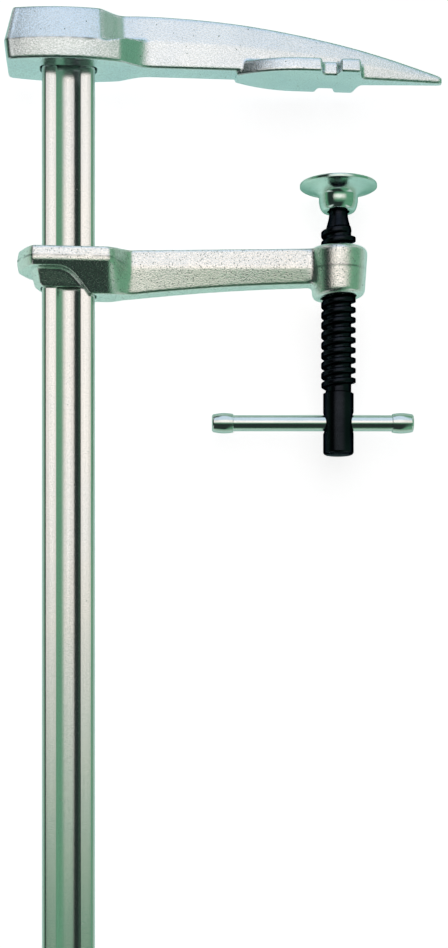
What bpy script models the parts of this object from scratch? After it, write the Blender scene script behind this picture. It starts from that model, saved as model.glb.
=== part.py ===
"""Rafter clamp: a forged steel bar clamp with a long pointed fixed arm, a sliding arm, a trapezoidal
screw with a pressure plate, and a sliding T-bar. The clamp lies flat.

The frame: the origin is the point of the fixed jaw's face on the screw's axis. X runs from the rail to
the tips of the arms, Y along the rail towards the fixed arm, and Z up, across the clamp. Metres.
"""

import math

import bmesh
import bpy
from mathutils import Matrix, Vector

MM = 0.001
DEG = math.pi / 180

# Rail
RAIL_WIDTH = 30.0 * MM
RAIL_DEPTH = 13.5 * MM
RAIL_CORNER_WIDTH = 2.4 * MM  # width of the round corner on the broad face
RAIL_CORNER_TILT = 26.0 * DEG  # tilt of the round corner where it leaves the broad face
RAIL_GROOVE_WIDTH = 13.7 * MM
RAIL_GROOVE_DEPTH = 2.6 * MM
RAIL_END_CHAMFER = 0.8 * MM
RAIL_SPARE = 6.0 * MM  # rail left below the sliding arm when it is all the way down

# Reach and opening
THROAT = 139.75 * MM  # from the rail's edge to the screw's axis
OPENING = 600.0 * MM  # widest gap between the fixed jaw and the pressure plate
REST_GAP = 58.6 * MM  # gap between them as modelled
SCREW_OUT = 37.3 * MM  # from the plate's face down to the boss, as modelled

# Clearances
CLEARANCE = 0.3 * MM
SLIDE_CLEARANCE = 0.5 * MM
CUTTER_OVER = 10.0 * MM  # how far the cutters reach past what they cut

# Fixed arm
HEAD_HEIGHT = 29.6 * MM
UNDERSIDE_RISE = 2.2 * MM  # the arm's underside lies this far behind the jaw face
HEAD_PARTING_SHARE = 0.37  # height of the die's parting line, as a share of the section
BEAM_PARTING_SHARE = 0.5
HEAD_HALF_DEPTH = 21.0 * MM
HEAD_BARREL_RADIUS = 120.0 * MM
HEAD_BACK = 35.9 * MM  # from the rail's axis to the back of the head
HEAD_END_CORNER = 4.0 * MM
LOWER_SHOULDER = 28.3 * MM  # from the rail's axis, where the head starts to narrow
LOWER_NECK = 19.0 * MM  # length over which it narrows
UPPER_SHOULDER = 17.6 * MM
UPPER_NECK = 15.4 * MM
SIDE_DRAFT = 7.0 * DEG
BEAM_DRAFT = 3.0 * DEG
LOWER_END_DRAFT = 8.0 * DEG
UPPER_END_DRAFT = 14.0 * DEG
ARM_EDGE = 1.2 * MM
BEAM_HALF_WIDTH = 8.6 * MM
BEAM_JAW_HALF_WIDTH = 5.9 * MM
TIP_HALF_WIDTH = 2.3 * MM
TIP_REACH = 60.3 * MM  # from the screw's axis
TIP_THICKNESS = 4.0 * MM
TIP_RELIEF = 0.25 * MM
HOLE_MOUTH = 0.9 * MM  # clearance of the flared mouth round the rail
HOLE_MOUTH_DEPTH = 2.5 * MM

# Jaw pad
PAD_HALF_WIDTH = 17.4 * MM
PAD_HEIGHT = 7.9 * MM
PAD_START = 59.5 * MM  # from the screw's axis back along the arm
PAD_CROWN = 22.0 * MM  # where the pad reaches its full width
PAD_START_HALF_WIDTH = 6.0 * MM
PAD_END = 13.5 * MM
PAD_END_HALF_WIDTH = 5.0 * MM
PAD_EDGE = 0.7 * MM
PAD_TOP_INSET = 1.0 * MM
NOTCH_HALF_WIDTH = 11.0 * MM  # what is left of the pad at the notches
NOTCH_MOUTH = 11.1 * MM
NOTCH_FLOOR = 7.8 * MM
NOTCH_PLACE = -6.1 * MM  # the notches' middle along the arm
PAD_LUG_END = 10.6 * MM

# Sliding arm, with heights measured down from the top of its boss
EYE_TOP = 6.2 * MM
EYE_PARTING = 12.0 * MM
EYE_FRONT_LOW = 14.6 * MM
EYE_BAND_LOW = 17.4 * MM
EYE_LOW = 31.1 * MM
EYE_HALF_DEPTH = 20.0 * MM
EYE_LOW_HALF_DEPTH = 10.0 * MM
EYE_BACK = 29.3 * MM  # from the rail's axis to the back of the eye
EYE_BACK_LENGTH = 9.5 * MM  # length of its rounded back
EYE_BACK_HALF_DEPTH = 3.5 * MM
EYE_BACK_POWER = 1.4  # how full the rounded back is
EYE_FLAT_END = 22.0 * MM  # from the rail's axis to the end of the flat cheeks
EYE_NECK = 14.5 * MM
BEAM_TOP_EYE = 4.9 * MM
BEAM_TOP_BOSS = 1.4 * MM
BEAM_PARTING_EYE = 14.8 * MM
BEAM_PARTING_BOSS = 12.8 * MM
BEAM_LOW_EYE = 30.2 * MM
BEAM_LOW_BOSS = 21.9 * MM
BEAM_ARCH = 1.1 * MM
BEAM_TOP_HALF = 7.4 * MM
BEAM_PARTING_HALF = 8.5 * MM
BEAM_LOW_HALF = 6.0 * MM
BEAM_TAPER = 0.86  # width at the boss as a share of the width at the eye
SLIDE_EDGE = 0.8 * MM
POCKET_HALF_DEPTH = 12.5 * MM  # inner wall of the eye behind the scooped cheeks, at its top
POCKET_SLOPE = 0.36  # how far the inner wall leans in for each unit that it falls
POCKET_DRAFT = 0.12  # how far the scoop widens for each unit of depth
POCKET_STEP = 0.15 * MM
POCKET_START = 7.5 * MM  # behind the rail's axis, where the scoop's rim starts to fall
POCKET_RUN = 19.5 * MM  # length over which the rim falls
INNER_LOW = 27.0 * MM
INNER_BACK = 21.6 * MM  # from the rail's axis to the back of the inner wall
INNER_LEAN = 2.0 * MM  # how far that back leans in down to its corner
INNER_CORNER = 3.5 * MM
INNER_SLANT = 0.34  # the inner wall's back is pointed: how far it leans in for each unit of depth
EYE_END_DRAFT = 12.0 * DEG
BOSS_RADIUS = 16.7 * MM
BOSS_TAPER = 1.4 * MM  # how much less its radius is at the bottom
BOSS_HEIGHT = 28.2 * MM
BOSS_EDGE = 3.2 * MM
BOSS_BOTTOM_SLOPE = 0.08
BOSS_FILLET = 11.0 * MM
BOSS_SIDES = 56

# Screw
THREAD_RADIUS = 10.0 * MM
THREAD_ROOT = 7.4 * MM
THREAD_PITCH = 5.8 * MM
THREAD_START = 23.1 * MM  # from the plate's face to the first thread
THREAD_LENGTH = 96.6 * MM
THREAD_START_TURNS = 0.5  # turns over which the thread grows to its full height
THREAD_END_TURNS = 0.15
NECK_RADIUS = 5.4 * MM
BALL_RADIUS = 7.2 * MM
BALL_DEPTH = 9.0 * MM  # from the plate's face to the ball's centre
NECK_FLARE_START = 17.1 * MM
NECK_FLARE_END = 26.7 * MM
SHANK_RADIUS = 8.8 * MM
SHANK_LENGTH = 35.0 * MM
SHANK_TOP_CHAMFER = 1.0 * MM
SHANK_END_CHAMFER = 1.6 * MM
CENTRE_HOLE_RADIUS = 1.2 * MM
CROSS_HOLE_HEIGHT = 18.2 * MM  # from the shank's end
CROSS_HOLE_FLARE = 1.5 * MM
SCREW_SIDES = 24

# Pressure plate
PLATE_RADIUS = 22.2 * MM
PLATE_RIM = 1.8 * MM
PLATE_EDGE = 0.7 * MM
CUP_RADIUS = 11.2 * MM
CUP_TOP = 7.4 * MM
CUP_BOTTOM = 15.9 * MM
CUP_SHOULDER = 9.9 * MM  # where the cup starts to close round the ball
CUP_MOUTH_EDGE = 8.3 * MM

# T-bar
BAR_RADIUS = 4.55 * MM
BAR_LENGTH = 116.0 * MM  # over the caps
BAR_END_CHAMFER = 0.6 * MM
BAR_OFFSET = -14.8 * MM  # from the screw's axis to the T-bar's middle
BAR_TURN = -4.5 * DEG  # the screw's turn at rest, which the T-bar shows
CAP_RADIUS = 5.8 * MM
CAP_LENGTH = 12.3 * MM
CAP_END_RADIUS = 5.2 * MM
CAP_WALL = 2.8 * MM
CAP_END_ROUND = 1.5 * MM

# Places that follow from the sizes
RAIL_X = -(THROAT + RAIL_WIDTH / 2)
BOSS_TOP = -(REST_GAP + SCREW_OUT)
PLATE_FACE = -REST_GAP
HEAD_TOP = UNDERSIDE_RISE + HEAD_HEIGHT
THREAD_TOP = PLATE_FACE - THREAD_START
THREAD_BOTTOM = THREAD_TOP - THREAD_LENGTH
SHANK_TOP = THREAD_BOTTOM - SHANK_TOP_CHAMFER
SHANK_END = SHANK_TOP - SHANK_LENGTH
BAR_Y = SHANK_END + CROSS_HOLE_HEIGHT
CROSS_HOLE_RADIUS = BAR_RADIUS + CLEARANCE
BORE_RADIUS = THREAD_RADIUS + CLEARANCE
SCREW_BACK = SCREW_OUT - CUP_BOTTOM  # travel that brings the plate's cup to the boss
RAIL_TOP = HEAD_TOP - CLEARANCE
RAIL_BOTTOM = -OPENING - (SCREW_OUT - SCREW_BACK) - EYE_LOW - RAIL_SPARE


def clear_scene():
    """Removes what the scene holds."""
    for thing in list(bpy.data.objects):
        bpy.data.objects.remove(thing)


def make_collection(name):
    """Makes a collection and links it to the scene."""
    group = bpy.data.collections.new(name)
    bpy.context.scene.collection.children.link(group)
    return group


def make_material(name, colour, roughness, metallic):
    """Makes a plain Principled material."""
    material = bpy.data.materials.new(name)
    material.use_nodes = True
    shader = material.node_tree.nodes["Principled BSDF"]
    shader.inputs["Base Color"].default_value = (*colour, 1.0)
    shader.inputs["Roughness"].default_value = roughness
    shader.inputs["Metallic"].default_value = metallic
    material.diffuse_color = (*colour, 1.0)
    return material


def mesh_object(name, mesh_builder, collection, material=None):
    """Turns a bmesh into an object whose faces point out."""
    bmesh.ops.remove_doubles(mesh_builder, verts=mesh_builder.verts, dist=1e-6)
    bmesh.ops.recalc_face_normals(mesh_builder, faces=mesh_builder.faces)
    mesh = bpy.data.meshes.new(name)
    mesh_builder.to_mesh(mesh)
    mesh_builder.free()
    thing = bpy.data.objects.new(name, mesh)
    collection.objects.link(thing)
    if material:
        mesh.materials.append(material)
    return thing


def make_cutter(thing):
    """Hides a cutter from renders and draws it as wire."""
    thing.hide_render = True
    thing.display_type = "WIRE"
    return thing


def add_boolean(thing, cutter, operation):
    """Adds an exact Boolean of the cutter to the object."""
    modifier = thing.modifiers.new(cutter.name, "BOOLEAN")
    modifier.operation = operation
    modifier.solver = "EXACT"
    modifier.object = cutter


def smooth(thing, angle=35 * DEG):
    """Shades round faces smooth and keeps the sharp edges."""
    thing.data.shade_smooth()
    thing.data.set_sharp_from_angle(angle=angle)


def arc(centre, radius, start, end, steps):
    """Points of an arc in the plane, from one angle to another, both included."""
    angles = [start + (end - start) * i / steps for i in range(steps + 1)]
    return [(centre[0] + radius * math.cos(a), centre[1] + radius * math.sin(a)) for a in angles]


def bezier(start, start_handle, end_handle, end, steps):
    """Points of a cubic curve in the plane, both ends included."""
    points = []
    for i in range(steps + 1):
        t = i / steps
        weights = ((1 - t) ** 3, 3 * t * (1 - t) ** 2, 3 * t * t * (1 - t), t**3)
        corners = (start, start_handle, end_handle, end)
        points.append(tuple(sum(w * c[k] for w, c in zip(weights, corners)) for k in (0, 1)))
    return points


def span(start, end, steps):
    """Evenly spaced values from start to end, both included."""
    return [start + (end - start) * i / steps for i in range(steps + 1)]


def blend(a, b, t):
    """The value a share t of the way from a to b."""
    return a + (b - a) * t


def mirrored(half):
    """A closed plan outline from its half with z above 0."""
    return half + [(x, -z) for x, z in reversed(half)]


def plan_normals(outline):
    """The outward normal at each point of a closed plan outline that runs clockwise seen from +Y."""
    normals = []
    count = len(outline)
    for i in range(count):
        before, after = Vector(outline[i - 1]), Vector(outline[(i + 1) % count])
        along = (after - before).normalized()
        normals.append(Vector((-along.y, along.x)))
    return normals


def plan_area(outline):
    """Signed area of a closed plan outline."""
    pairs = zip(outline, outline[1:] + outline[:1])
    return sum(a[0] * b[1] - b[0] * a[1] for a, b in pairs) / 2


def inset_level(outline, inset, height):
    """One level of a drafted form: each point moves in by inset(x, z) and lies at height(x).

    inset gives the moves along X and Z for a wall that faces that way.
    """
    side = -1 if plan_area(outline) > 0 else 1
    level = []
    for (x, z), normal in zip(outline, plan_normals(outline)):
        move_x, move_z = inset(x, z)
        px = x - side * normal.x * move_x
        pz = z - side * normal.y * move_z
        level.append(Vector((px, height(x), pz)))
    return level


def loft(name, loops, collection, material=None, halves=True):
    """Closed solid through loops of as many points each.

    With halves, a loop's second half mirrors its first, and its caps are strips from side to side.
    """
    builder = bmesh.new()
    rings = [[builder.verts.new(p) for p in loop] for loop in loops]
    count = len(loops[0])
    for low, high in zip(rings, rings[1:]):
        for i in range(count):
            j = (i + 1) % count
            builder.faces.new((low[i], low[j], high[j], high[i]))
    for ring in (rings[0], rings[-1]):
        if halves:
            for i in range(count // 2 - 1):
                builder.faces.new((ring[i], ring[i + 1], ring[-i - 2], ring[-i - 1]))
        else:
            builder.faces.new(ring)
    bmesh.ops.triangulate(builder, faces=[f for f in builder.faces if len(f.verts) == 4])
    return mesh_object(name, builder, collection, material)


def prism(name, outline, levels, place, collection):
    """Closed solid of a plane outline through levels; place maps (u, v, level) to a point."""
    builder = bmesh.new()
    rings = [[builder.verts.new(place(u, v, level)) for u, v in outline] for level in levels]
    count = len(outline)
    for lower, upper in zip(rings, rings[1:]):
        for i in range(count):
            j = (i + 1) % count
            builder.faces.new((lower[i], lower[j], upper[j], upper[i]))
    for ring in (rings[0], rings[-1]):
        builder.faces.new(ring)
    return mesh_object(name, builder, collection)


def turned(name, profile, steps, collection, material=None):
    """Turned solid: a profile of (radius, height) points, from top to bottom, swept about local Z."""
    mesh = bpy.data.meshes.new(name)
    edges = [(i, i + 1) for i in range(len(profile) - 1)]
    mesh.from_pydata([(r, 0, h) for r, h in profile], edges, [])
    thing = bpy.data.objects.new(name, mesh)
    collection.objects.link(thing)
    screw = thing.modifiers.new("turn", "SCREW")
    screw.axis = "Z"
    screw.steps = steps
    screw.render_steps = steps
    screw.use_merge_vertices = True
    screw.merge_threshold = 0.00001
    if material:
        mesh.materials.append(material)
    return thing


# The rail
def rail_corners(gap):
    """The four round corners of the rail's section, moved out by a gap."""
    radius = RAIL_CORNER_WIDTH / (1 - math.sin(RAIL_CORNER_TILT))
    centre_u = RAIL_WIDTH / 2 - radius
    centre_v = RAIL_DEPTH / 2 - radius * math.cos(RAIL_CORNER_TILT)
    top = math.asin((RAIL_DEPTH / 2 + gap - centre_v) / (radius + gap))
    corner = arc((centre_u, centre_v), radius + gap, 0, top, 5)
    half = corner + [(-u, v) for u, v in reversed(corner)]
    half += [(-u, -v) for u, v in half]
    count = len(corner)
    return [half[k * count : (k + 1) * count] for k in range(4)]


def rail_outline():
    """The rail's section: round corners, and a round-bottomed groove in each broad face."""
    half_groove = RAIL_GROOVE_WIDTH / 2
    radius = (half_groove**2 + RAIL_GROOVE_DEPTH**2) / (2 * RAIL_GROOVE_DEPTH)
    reach = math.asin(half_groove / radius)
    middle = RAIL_DEPTH / 2 - RAIL_GROOVE_DEPTH + radius
    groove = arc((0, middle), radius, reach - math.pi / 2, -reach - math.pi / 2, 8)
    first, second, third, fourth = rail_corners(0)
    return first + groove + second + third + [(-u, -v) for u, v in groove] + fourth


def rail_fit(gap):
    """Outline of a hole that the rail passes through, with a gap all round it."""
    return [point for corner in rail_corners(gap) for point in corner]


def make_rail(collection, material):
    """The rolled rail, drawn as a flat outline and given its length."""
    curve = bpy.data.curves.new("rail", "CURVE")
    curve.dimensions = "2D"
    curve.fill_mode = "BOTH"
    length = RAIL_TOP - RAIL_BOTTOM
    curve.extrude = length / 2 - RAIL_END_CHAMFER
    curve.bevel_depth = RAIL_END_CHAMFER
    curve.bevel_resolution = 0
    curve.offset = -RAIL_END_CHAMFER
    outline = rail_outline()
    spline = curve.splines.new("POLY")
    spline.points.add(len(outline) - 1)
    for point, (u, v) in zip(spline.points, outline):
        point.co = (u, v, 0, 1)
    spline.use_cyclic_u = True
    curve.materials.append(material)
    rail = bpy.data.objects.new("rail", curve)
    collection.objects.link(rail)
    rail.location = (RAIL_X, (RAIL_TOP + RAIL_BOTTOM) / 2, 0)
    rail.rotation_euler = (-math.pi / 2, 0, 0)
    return rail


# The fixed arm
def head_half_depth(x):
    """Half depth of the barrel-shaped head at the parting line."""
    return HEAD_HALF_DEPTH - HEAD_BARREL_RADIUS + math.sqrt(HEAD_BARREL_RADIUS**2 - (x - RAIL_X) ** 2)


def beam_half_width(x):
    """Half width of the fixed arm's beam at the parting line."""
    stations = (
        (-PAD_START, BEAM_HALF_WIDTH),
        (PAD_END, BEAM_JAW_HALF_WIDTH),
        (TIP_REACH, TIP_HALF_WIDTH),
    )
    if x <= stations[0][0]:
        return BEAM_HALF_WIDTH
    for (x0, w0), (x1, w1) in zip(stations, stations[1:]):
        if x <= x1:
            return blend(w0, w1, (x - x0) / (x1 - x0))
    return TIP_HALF_WIDTH


def fixed_arm_plan(shoulder, neck, end_move=0.0):
    """Half of the arm's plan, from the head's back, which may be moved in, to the tip."""
    back = RAIL_X - HEAD_BACK + end_move
    corner_x = back + HEAD_END_CORNER
    side = head_half_depth(corner_x)
    quarter = math.pi / 2
    half = [(back, (side - HEAD_END_CORNER) / 2)]
    half += arc((corner_x, side - HEAD_END_CORNER), HEAD_END_CORNER, 2 * quarter, quarter, 5)
    head_end = RAIL_X + UPPER_SHOULDER
    neck_end = RAIL_X + LOWER_SHOULDER + LOWER_NECK
    half += [(x, head_half_depth(x)) for x in span(corner_x, head_end, 9)[1:]]
    for x in span(head_end, neck_end, 18)[1:]:
        t = min(1.0, max(0.0, (x - RAIL_X - shoulder) / neck))
        half.append((x, blend(head_half_depth(x), BEAM_HALF_WIDTH, t * t * (3 - 2 * t))))
    tip_start = TIP_REACH - TIP_HALF_WIDTH
    half += [(x, beam_half_width(x)) for x in span(neck_end, tip_start, 26)[1:]]
    half += arc((tip_start, 0), beam_half_width(tip_start), quarter, 0.15 * quarter, 3)[1:]
    return half


def back_height(x):
    """Height of the arm's back: flat over the head, then one long arc down to the tip."""
    start = RAIL_X + LOWER_SHOULDER + LOWER_NECK / 2
    run, fall = TIP_REACH - start, HEAD_TOP - TIP_RELIEF - TIP_THICKNESS
    radius = (run**2 + fall**2) / (2 * fall)
    if x <= start:
        return HEAD_TOP
    return HEAD_TOP - radius + math.sqrt(radius**2 - (min(x, TIP_REACH) - start) ** 2)


def underside(x):
    """Height of the arm's underside, which steps down under the pad to the tip."""
    step_start, step_end = 0.2 * PAD_END, 0.65 * PAD_END
    share = min(1.0, max(0.0, (x - step_start) / (step_end - step_start)))
    return blend(UNDERSIDE_RISE, TIP_RELIEF, share)


def parting_height(x):
    """Height of the parting line, which climbs from the head to the middle of the beam."""
    start, end = RAIL_X + UPPER_SHOULDER, RAIL_X + LOWER_SHOULDER + LOWER_NECK / 2
    t = min(1.0, max(0.0, (x - start) / (end - start)))
    share = blend(HEAD_PARTING_SHARE, BEAM_PARTING_SHARE, t * t * (3 - 2 * t))
    return blend(underside(x), back_height(x), share)


def edge_at(z):
    """The edge radius, held back where the arm is narrow."""
    return min(ARM_EDGE, 0.3 * abs(z) + 0.2 * MM)


def fixed_arm_levels():
    """The levels of the drafted forging, from its underside to its back."""
    lower_depth = lambda x: parting_height(x) - underside(x)
    upper_depth = lambda x: back_height(x) - parting_height(x)
    lower_end = lower_depth(RAIL_X) * math.tan(LOWER_END_DRAFT)
    upper_end = upper_depth(RAIL_X) * math.tan(UPPER_END_DRAFT)
    low, lower, upper, top = [
        mirrored(fixed_arm_plan(*shape))
        for shape in (
            (LOWER_SHOULDER, LOWER_NECK, lower_end),
            (LOWER_SHOULDER, LOWER_NECK),
            (UPPER_SHOULDER, UPPER_NECK),
            (UPPER_SHOULDER, UPPER_NECK, upper_end),
        )
    ]

    def side_draft(x):
        start = RAIL_X + UPPER_SHOULDER
        t = min(1.0, max(0.0, (x - start) / (LOWER_SHOULDER + LOWER_NECK - UPPER_SHOULDER)))
        return math.tan(blend(SIDE_DRAFT, BEAM_DRAFT, t * t * (3 - 2 * t)))

    def draft(depth):
        def move(x, z, extra):
            across = depth(x) * side_draft(x)
            along = across if x > RAIL_X else 0
            limit = 0.45 * abs(z) + 0.3 * MM
            return along + extra, min(across + extra, limit)

        return move

    down, up = draft(lower_depth), draft(upper_depth)
    levels = []
    for share, rise in ((1.0, 0.0), (0.3, 0.3), (0.0, 1.0)):
        inset = lambda x, z, s=share: down(x, z, s * edge_at(z))
        levels.append(inset_level(low, inset, lambda x, r=rise: underside(x) + r * ARM_EDGE))
    levels.append(inset_level(lower, lambda x, z: (0, 0), parting_height))
    levels.append(inset_level(upper, lambda x, z: (0, 0), parting_height))
    for share, drop in ((0.0, 1.0), (0.3, 0.3), (1.0, 0.0)):
        inset = lambda x, z, s=share: up(x, z, s * edge_at(z))
        levels.append(inset_level(top, inset, lambda x, d=drop: back_height(x) - d * edge_top(x)))
    return levels


def edge_top(x):
    """Height of the back's rounded edge, less where the tip is thin."""
    return min(ARM_EDGE, 0.2 * (back_height(x) - underside(x)))


def pad_plan():
    """Half of the jaw pad's plan: a lens with a notch in each side and a lug beyond it."""
    run = PAD_START - PAD_CROWN
    rise = PAD_HALF_WIDTH - PAD_START_HALF_WIDTH
    radius = (run**2 + rise**2) / (2 * rise)
    reach = math.asin(run / radius)
    quarter = math.pi / 2
    centre = (-PAD_CROWN, PAD_HALF_WIDTH - radius)
    half = arc(centre, radius, quarter + reach, quarter, 14)
    mouth, floor = NOTCH_MOUTH / 2, NOTCH_FLOOR / 2
    half += [
        (NOTCH_PLACE - mouth, PAD_HALF_WIDTH),
        (NOTCH_PLACE - floor, NOTCH_HALF_WIDTH),
        (NOTCH_PLACE + floor, NOTCH_HALF_WIDTH),
        (NOTCH_PLACE + mouth, PAD_HALF_WIDTH),
        (PAD_LUG_END, PAD_HALF_WIDTH - 0.3 * MM),
        (blend(PAD_LUG_END, PAD_END, 0.6), blend(PAD_HALF_WIDTH, PAD_END_HALF_WIDTH, 0.7)),
        (PAD_END, PAD_END_HALF_WIDTH),
    ]
    return half


def make_fixed_arm(collection, cutters, material):
    """The forged fixed arm: drafted body, jaw pad, and the hole that the rail passes through."""
    arm = loft("fixed_arm", fixed_arm_levels(), collection, material)
    plan = mirrored(pad_plan())
    steps = (
        (PAD_EDGE, 0.0),
        (0.0, PAD_EDGE),
        (0.3 * PAD_TOP_INSET, PAD_HEIGHT - PAD_EDGE),
        (PAD_TOP_INSET, PAD_HEIGHT),
    )
    levels = [
        inset_level(plan, lambda x, z, i=inset: (i, min(i, abs(z))), lambda x, y=height: y)
        for inset, height in steps
    ]
    pad = make_cutter(loft("jaw_pad", levels, cutters))
    add_boolean(arm, pad, "UNION")

    def hole(name, gap, low, high):
        place = lambda u, v, y: (RAIL_X + u, y, v)
        return make_cutter(prism(name, rail_fit(gap), (low, high), place, cutters))

    low, high = UNDERSIDE_RISE - CUTTER_OVER, HEAD_TOP + CUTTER_OVER
    mouth_top = UNDERSIDE_RISE + HOLE_MOUTH_DEPTH
    add_boolean(arm, hole("rail_hole", CLEARANCE, low, high), "DIFFERENCE")
    add_boolean(arm, hole("hole_mouth", HOLE_MOUTH, low, mouth_top), "DIFFERENCE")
    smooth(arm)
    return arm


# The sliding arm
def slide_section(x):
    """Half section of the sliding arm at x: (height, half width) from its top to its bottom."""
    flat_end = RAIL_X + EYE_FLAT_END
    neck_end = flat_end + EYE_NECK
    back = RAIL_X - EYE_BACK
    eye = [
        (EYE_TOP, EYE_HALF_DEPTH - 0.5 * MM),
        (EYE_PARTING, EYE_HALF_DEPTH),
        (EYE_FRONT_LOW, EYE_HALF_DEPTH - 0.3 * MM),
        (EYE_LOW, EYE_LOW_HALF_DEPTH),
    ]
    boss_start = -BOSS_RADIUS
    t = min(1.0, max(0.0, (x - neck_end) / (boss_start - neck_end)))
    width = blend(1.0, BEAM_TAPER, t)
    low = blend(BEAM_LOW_EYE, BEAM_LOW_BOSS, t) - 4 * BEAM_ARCH * t * (1 - t)
    parting = blend(BEAM_PARTING_EYE, BEAM_PARTING_BOSS, t)
    upper_low = 0.15
    beam = [
        (blend(BEAM_TOP_EYE, BEAM_TOP_BOSS, t), width * BEAM_TOP_HALF),
        (parting, width * BEAM_PARTING_HALF),
        (blend(parting, low, upper_low), width * blend(BEAM_PARTING_HALF, BEAM_LOW_HALF, upper_low)),
        (low, width * BEAM_LOW_HALF),
    ]
    if x < flat_end:
        share = min(1.0, (x - back) / EYE_BACK_LENGTH)
        half = blend(EYE_HALF_DEPTH, EYE_BACK_HALF_DEPTH, (1 - share) ** EYE_BACK_POWER)
        return [(y, z * half / EYE_HALF_DEPTH) for y, z in eye]
    if x < neck_end:
        s = (x - flat_end) / EYE_NECK
        share = 1 - s * s * (3 - 2 * s)
        return [(blend(b[0], e[0], share), blend(b[1], e[1], share)) for e, b in zip(eye, beam)]
    return [(y, boss_fillet(x, z)) for y, z in beam]


def boss_fillet(x, z):
    """Half width of the beam at x, with the fillet that turns it tangent to the boss."""
    start = -math.sqrt((BOSS_RADIUS + BOSS_FILLET) ** 2 - (z + BOSS_FILLET) ** 2)
    end = start * BOSS_RADIUS / (BOSS_RADIUS + BOSS_FILLET)
    along = min(max(x, start), end) - start
    return z + BOSS_FILLET - math.sqrt(BOSS_FILLET**2 - along**2)


def slide_stations():
    """Places along the sliding arm where its section is drawn."""
    back = RAIL_X - EYE_BACK
    flat_start = back + EYE_BACK_LENGTH
    flat_end = RAIL_X + EYE_FLAT_END
    neck_end = flat_end + EYE_NECK
    fillet_start = -math.hypot(BOSS_RADIUS, BOSS_FILLET) - 0.3 * BOSS_FILLET
    return (
        [back + EYE_BACK_LENGTH * (1 - math.cos(a * math.pi / 12)) for a in range(6)]
        + [flat_start, flat_end - 0.2 * MM]
        + span(flat_end, neck_end, 9)
        + span(neck_end, fillet_start, 6)[1:]
        + span(fillet_start, -0.55 * BOSS_RADIUS, 10)[1:]
    )


def eased(outline, reach):
    """Rounds each corner of a closed outline with three points."""
    points = []
    count = len(outline)
    for i in range(count):
        corner = Vector(outline[i])
        before, after = Vector(outline[i - 1]) - corner, Vector(outline[(i + 1) % count]) - corner
        start = corner + before * min(reach / before.length, 0.4)
        end = corner + after * min(reach / after.length, 0.4)
        points += [start, (start + end + 2 * corner) / 4, end]
    return points


def slide_body(collection, material):
    """The sliding arm's drafted body, from its eye to its boss."""
    loops = []
    for x in slide_stations():
        half = slide_section(x)
        outline = eased(half + [(y, -z) for y, z in reversed(half)], SLIDE_EDGE)
        lean = max(0.0, 1 - (x - RAIL_X + EYE_BACK) / EYE_BACK_LENGTH) * math.tan(EYE_END_DRAFT)
        loops.append([Vector((x + lean * abs(y - EYE_PARTING), BOSS_TOP - y, z)) for y, z in outline])
    return loft("sliding_arm", loops, collection, material, halves=False)


def scoop_rim():
    """The curved rim, in X and Y, that falls across each cheek, and on below the arm."""
    start = RAIL_X - POCKET_START
    top, low = BOSS_TOP - EYE_BAND_LOW, BOSS_TOP - EYE_LOW
    fall_end = (start + POCKET_RUN, low)
    level_handle = (start + 0.45 * POCKET_RUN, top)
    fall_handle = (start + 0.6 * POCKET_RUN, blend(top, low, 0.4))
    rim = bezier((start, top), level_handle, fall_handle, fall_end, 8)
    slope_x, slope_y = fall_end[0] - fall_handle[0], fall_end[1] - fall_handle[1]
    share = CUTTER_OVER / -slope_y
    return rim + [(fall_end[0] + share * slope_x, low - CUTTER_OVER)]


def pocket_outline():
    """Outline, in X and Y, of what is scooped out of each cheek."""
    back = RAIL_X - EYE_BACK - CUTTER_OVER
    rim = scoop_rim()
    return [(back, rim[0][1])] + rim + [(back, rim[-1][1])]


def undercut_outline():
    """Outline, in X and Y, of what is left out behind and below the eye's inner wall."""
    back = RAIL_X - EYE_BACK - CUTTER_OVER
    band, low = BOSS_TOP - EYE_BAND_LOW, BOSS_TOP - INNER_LOW
    wall = RAIL_X - INNER_BACK
    quarter = math.pi / 2
    corner = (wall + INNER_LEAN + INNER_CORNER, low + INNER_CORNER)
    rim = scoop_rim()
    below = [point for point in rim if point[1] < low]
    above = rim[len(rim) - len(below) - 1]
    share = (above[1] - low) / (above[1] - below[0][1])
    crossing = (blend(above[0], below[0][0], share), low)
    points = [(back, band), (wall, band)]
    points += arc(corner, INNER_CORNER, 2 * quarter, 3 * quarter, 5)
    return points + [crossing] + below + [(back, below[-1][1])]


def boss_rings():
    """Rings of the boss: a round edge at the top, slightly tapered, and a sloping bottom."""
    quarter = math.pi / 2
    rings = []

    def ring(radius, height, slope):
        points = []
        for i in range(BOSS_SIDES):
            angle = 2 * math.pi * i / BOSS_SIDES
            x, z = radius * math.cos(angle), radius * math.sin(angle)
            points.append(Vector((x, BOSS_TOP - height + slope * x, z)))
        rings.append(points)

    for k in range(5):
        turn = quarter * k / 4
        inset = BOSS_EDGE * (1 - math.sin(turn))
        ring(BOSS_RADIUS - inset, BOSS_EDGE * (1 - math.cos(turn)), 0)
    for k in range(5):
        turn = quarter * k / 4
        inset = BOSS_TAPER + BOSS_EDGE * (1 - math.cos(turn))
        ring(BOSS_RADIUS - inset, BOSS_HEIGHT - BOSS_EDGE * (1 - math.sin(turn)), BOSS_BOTTOM_SLOPE)
    return rings


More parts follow.
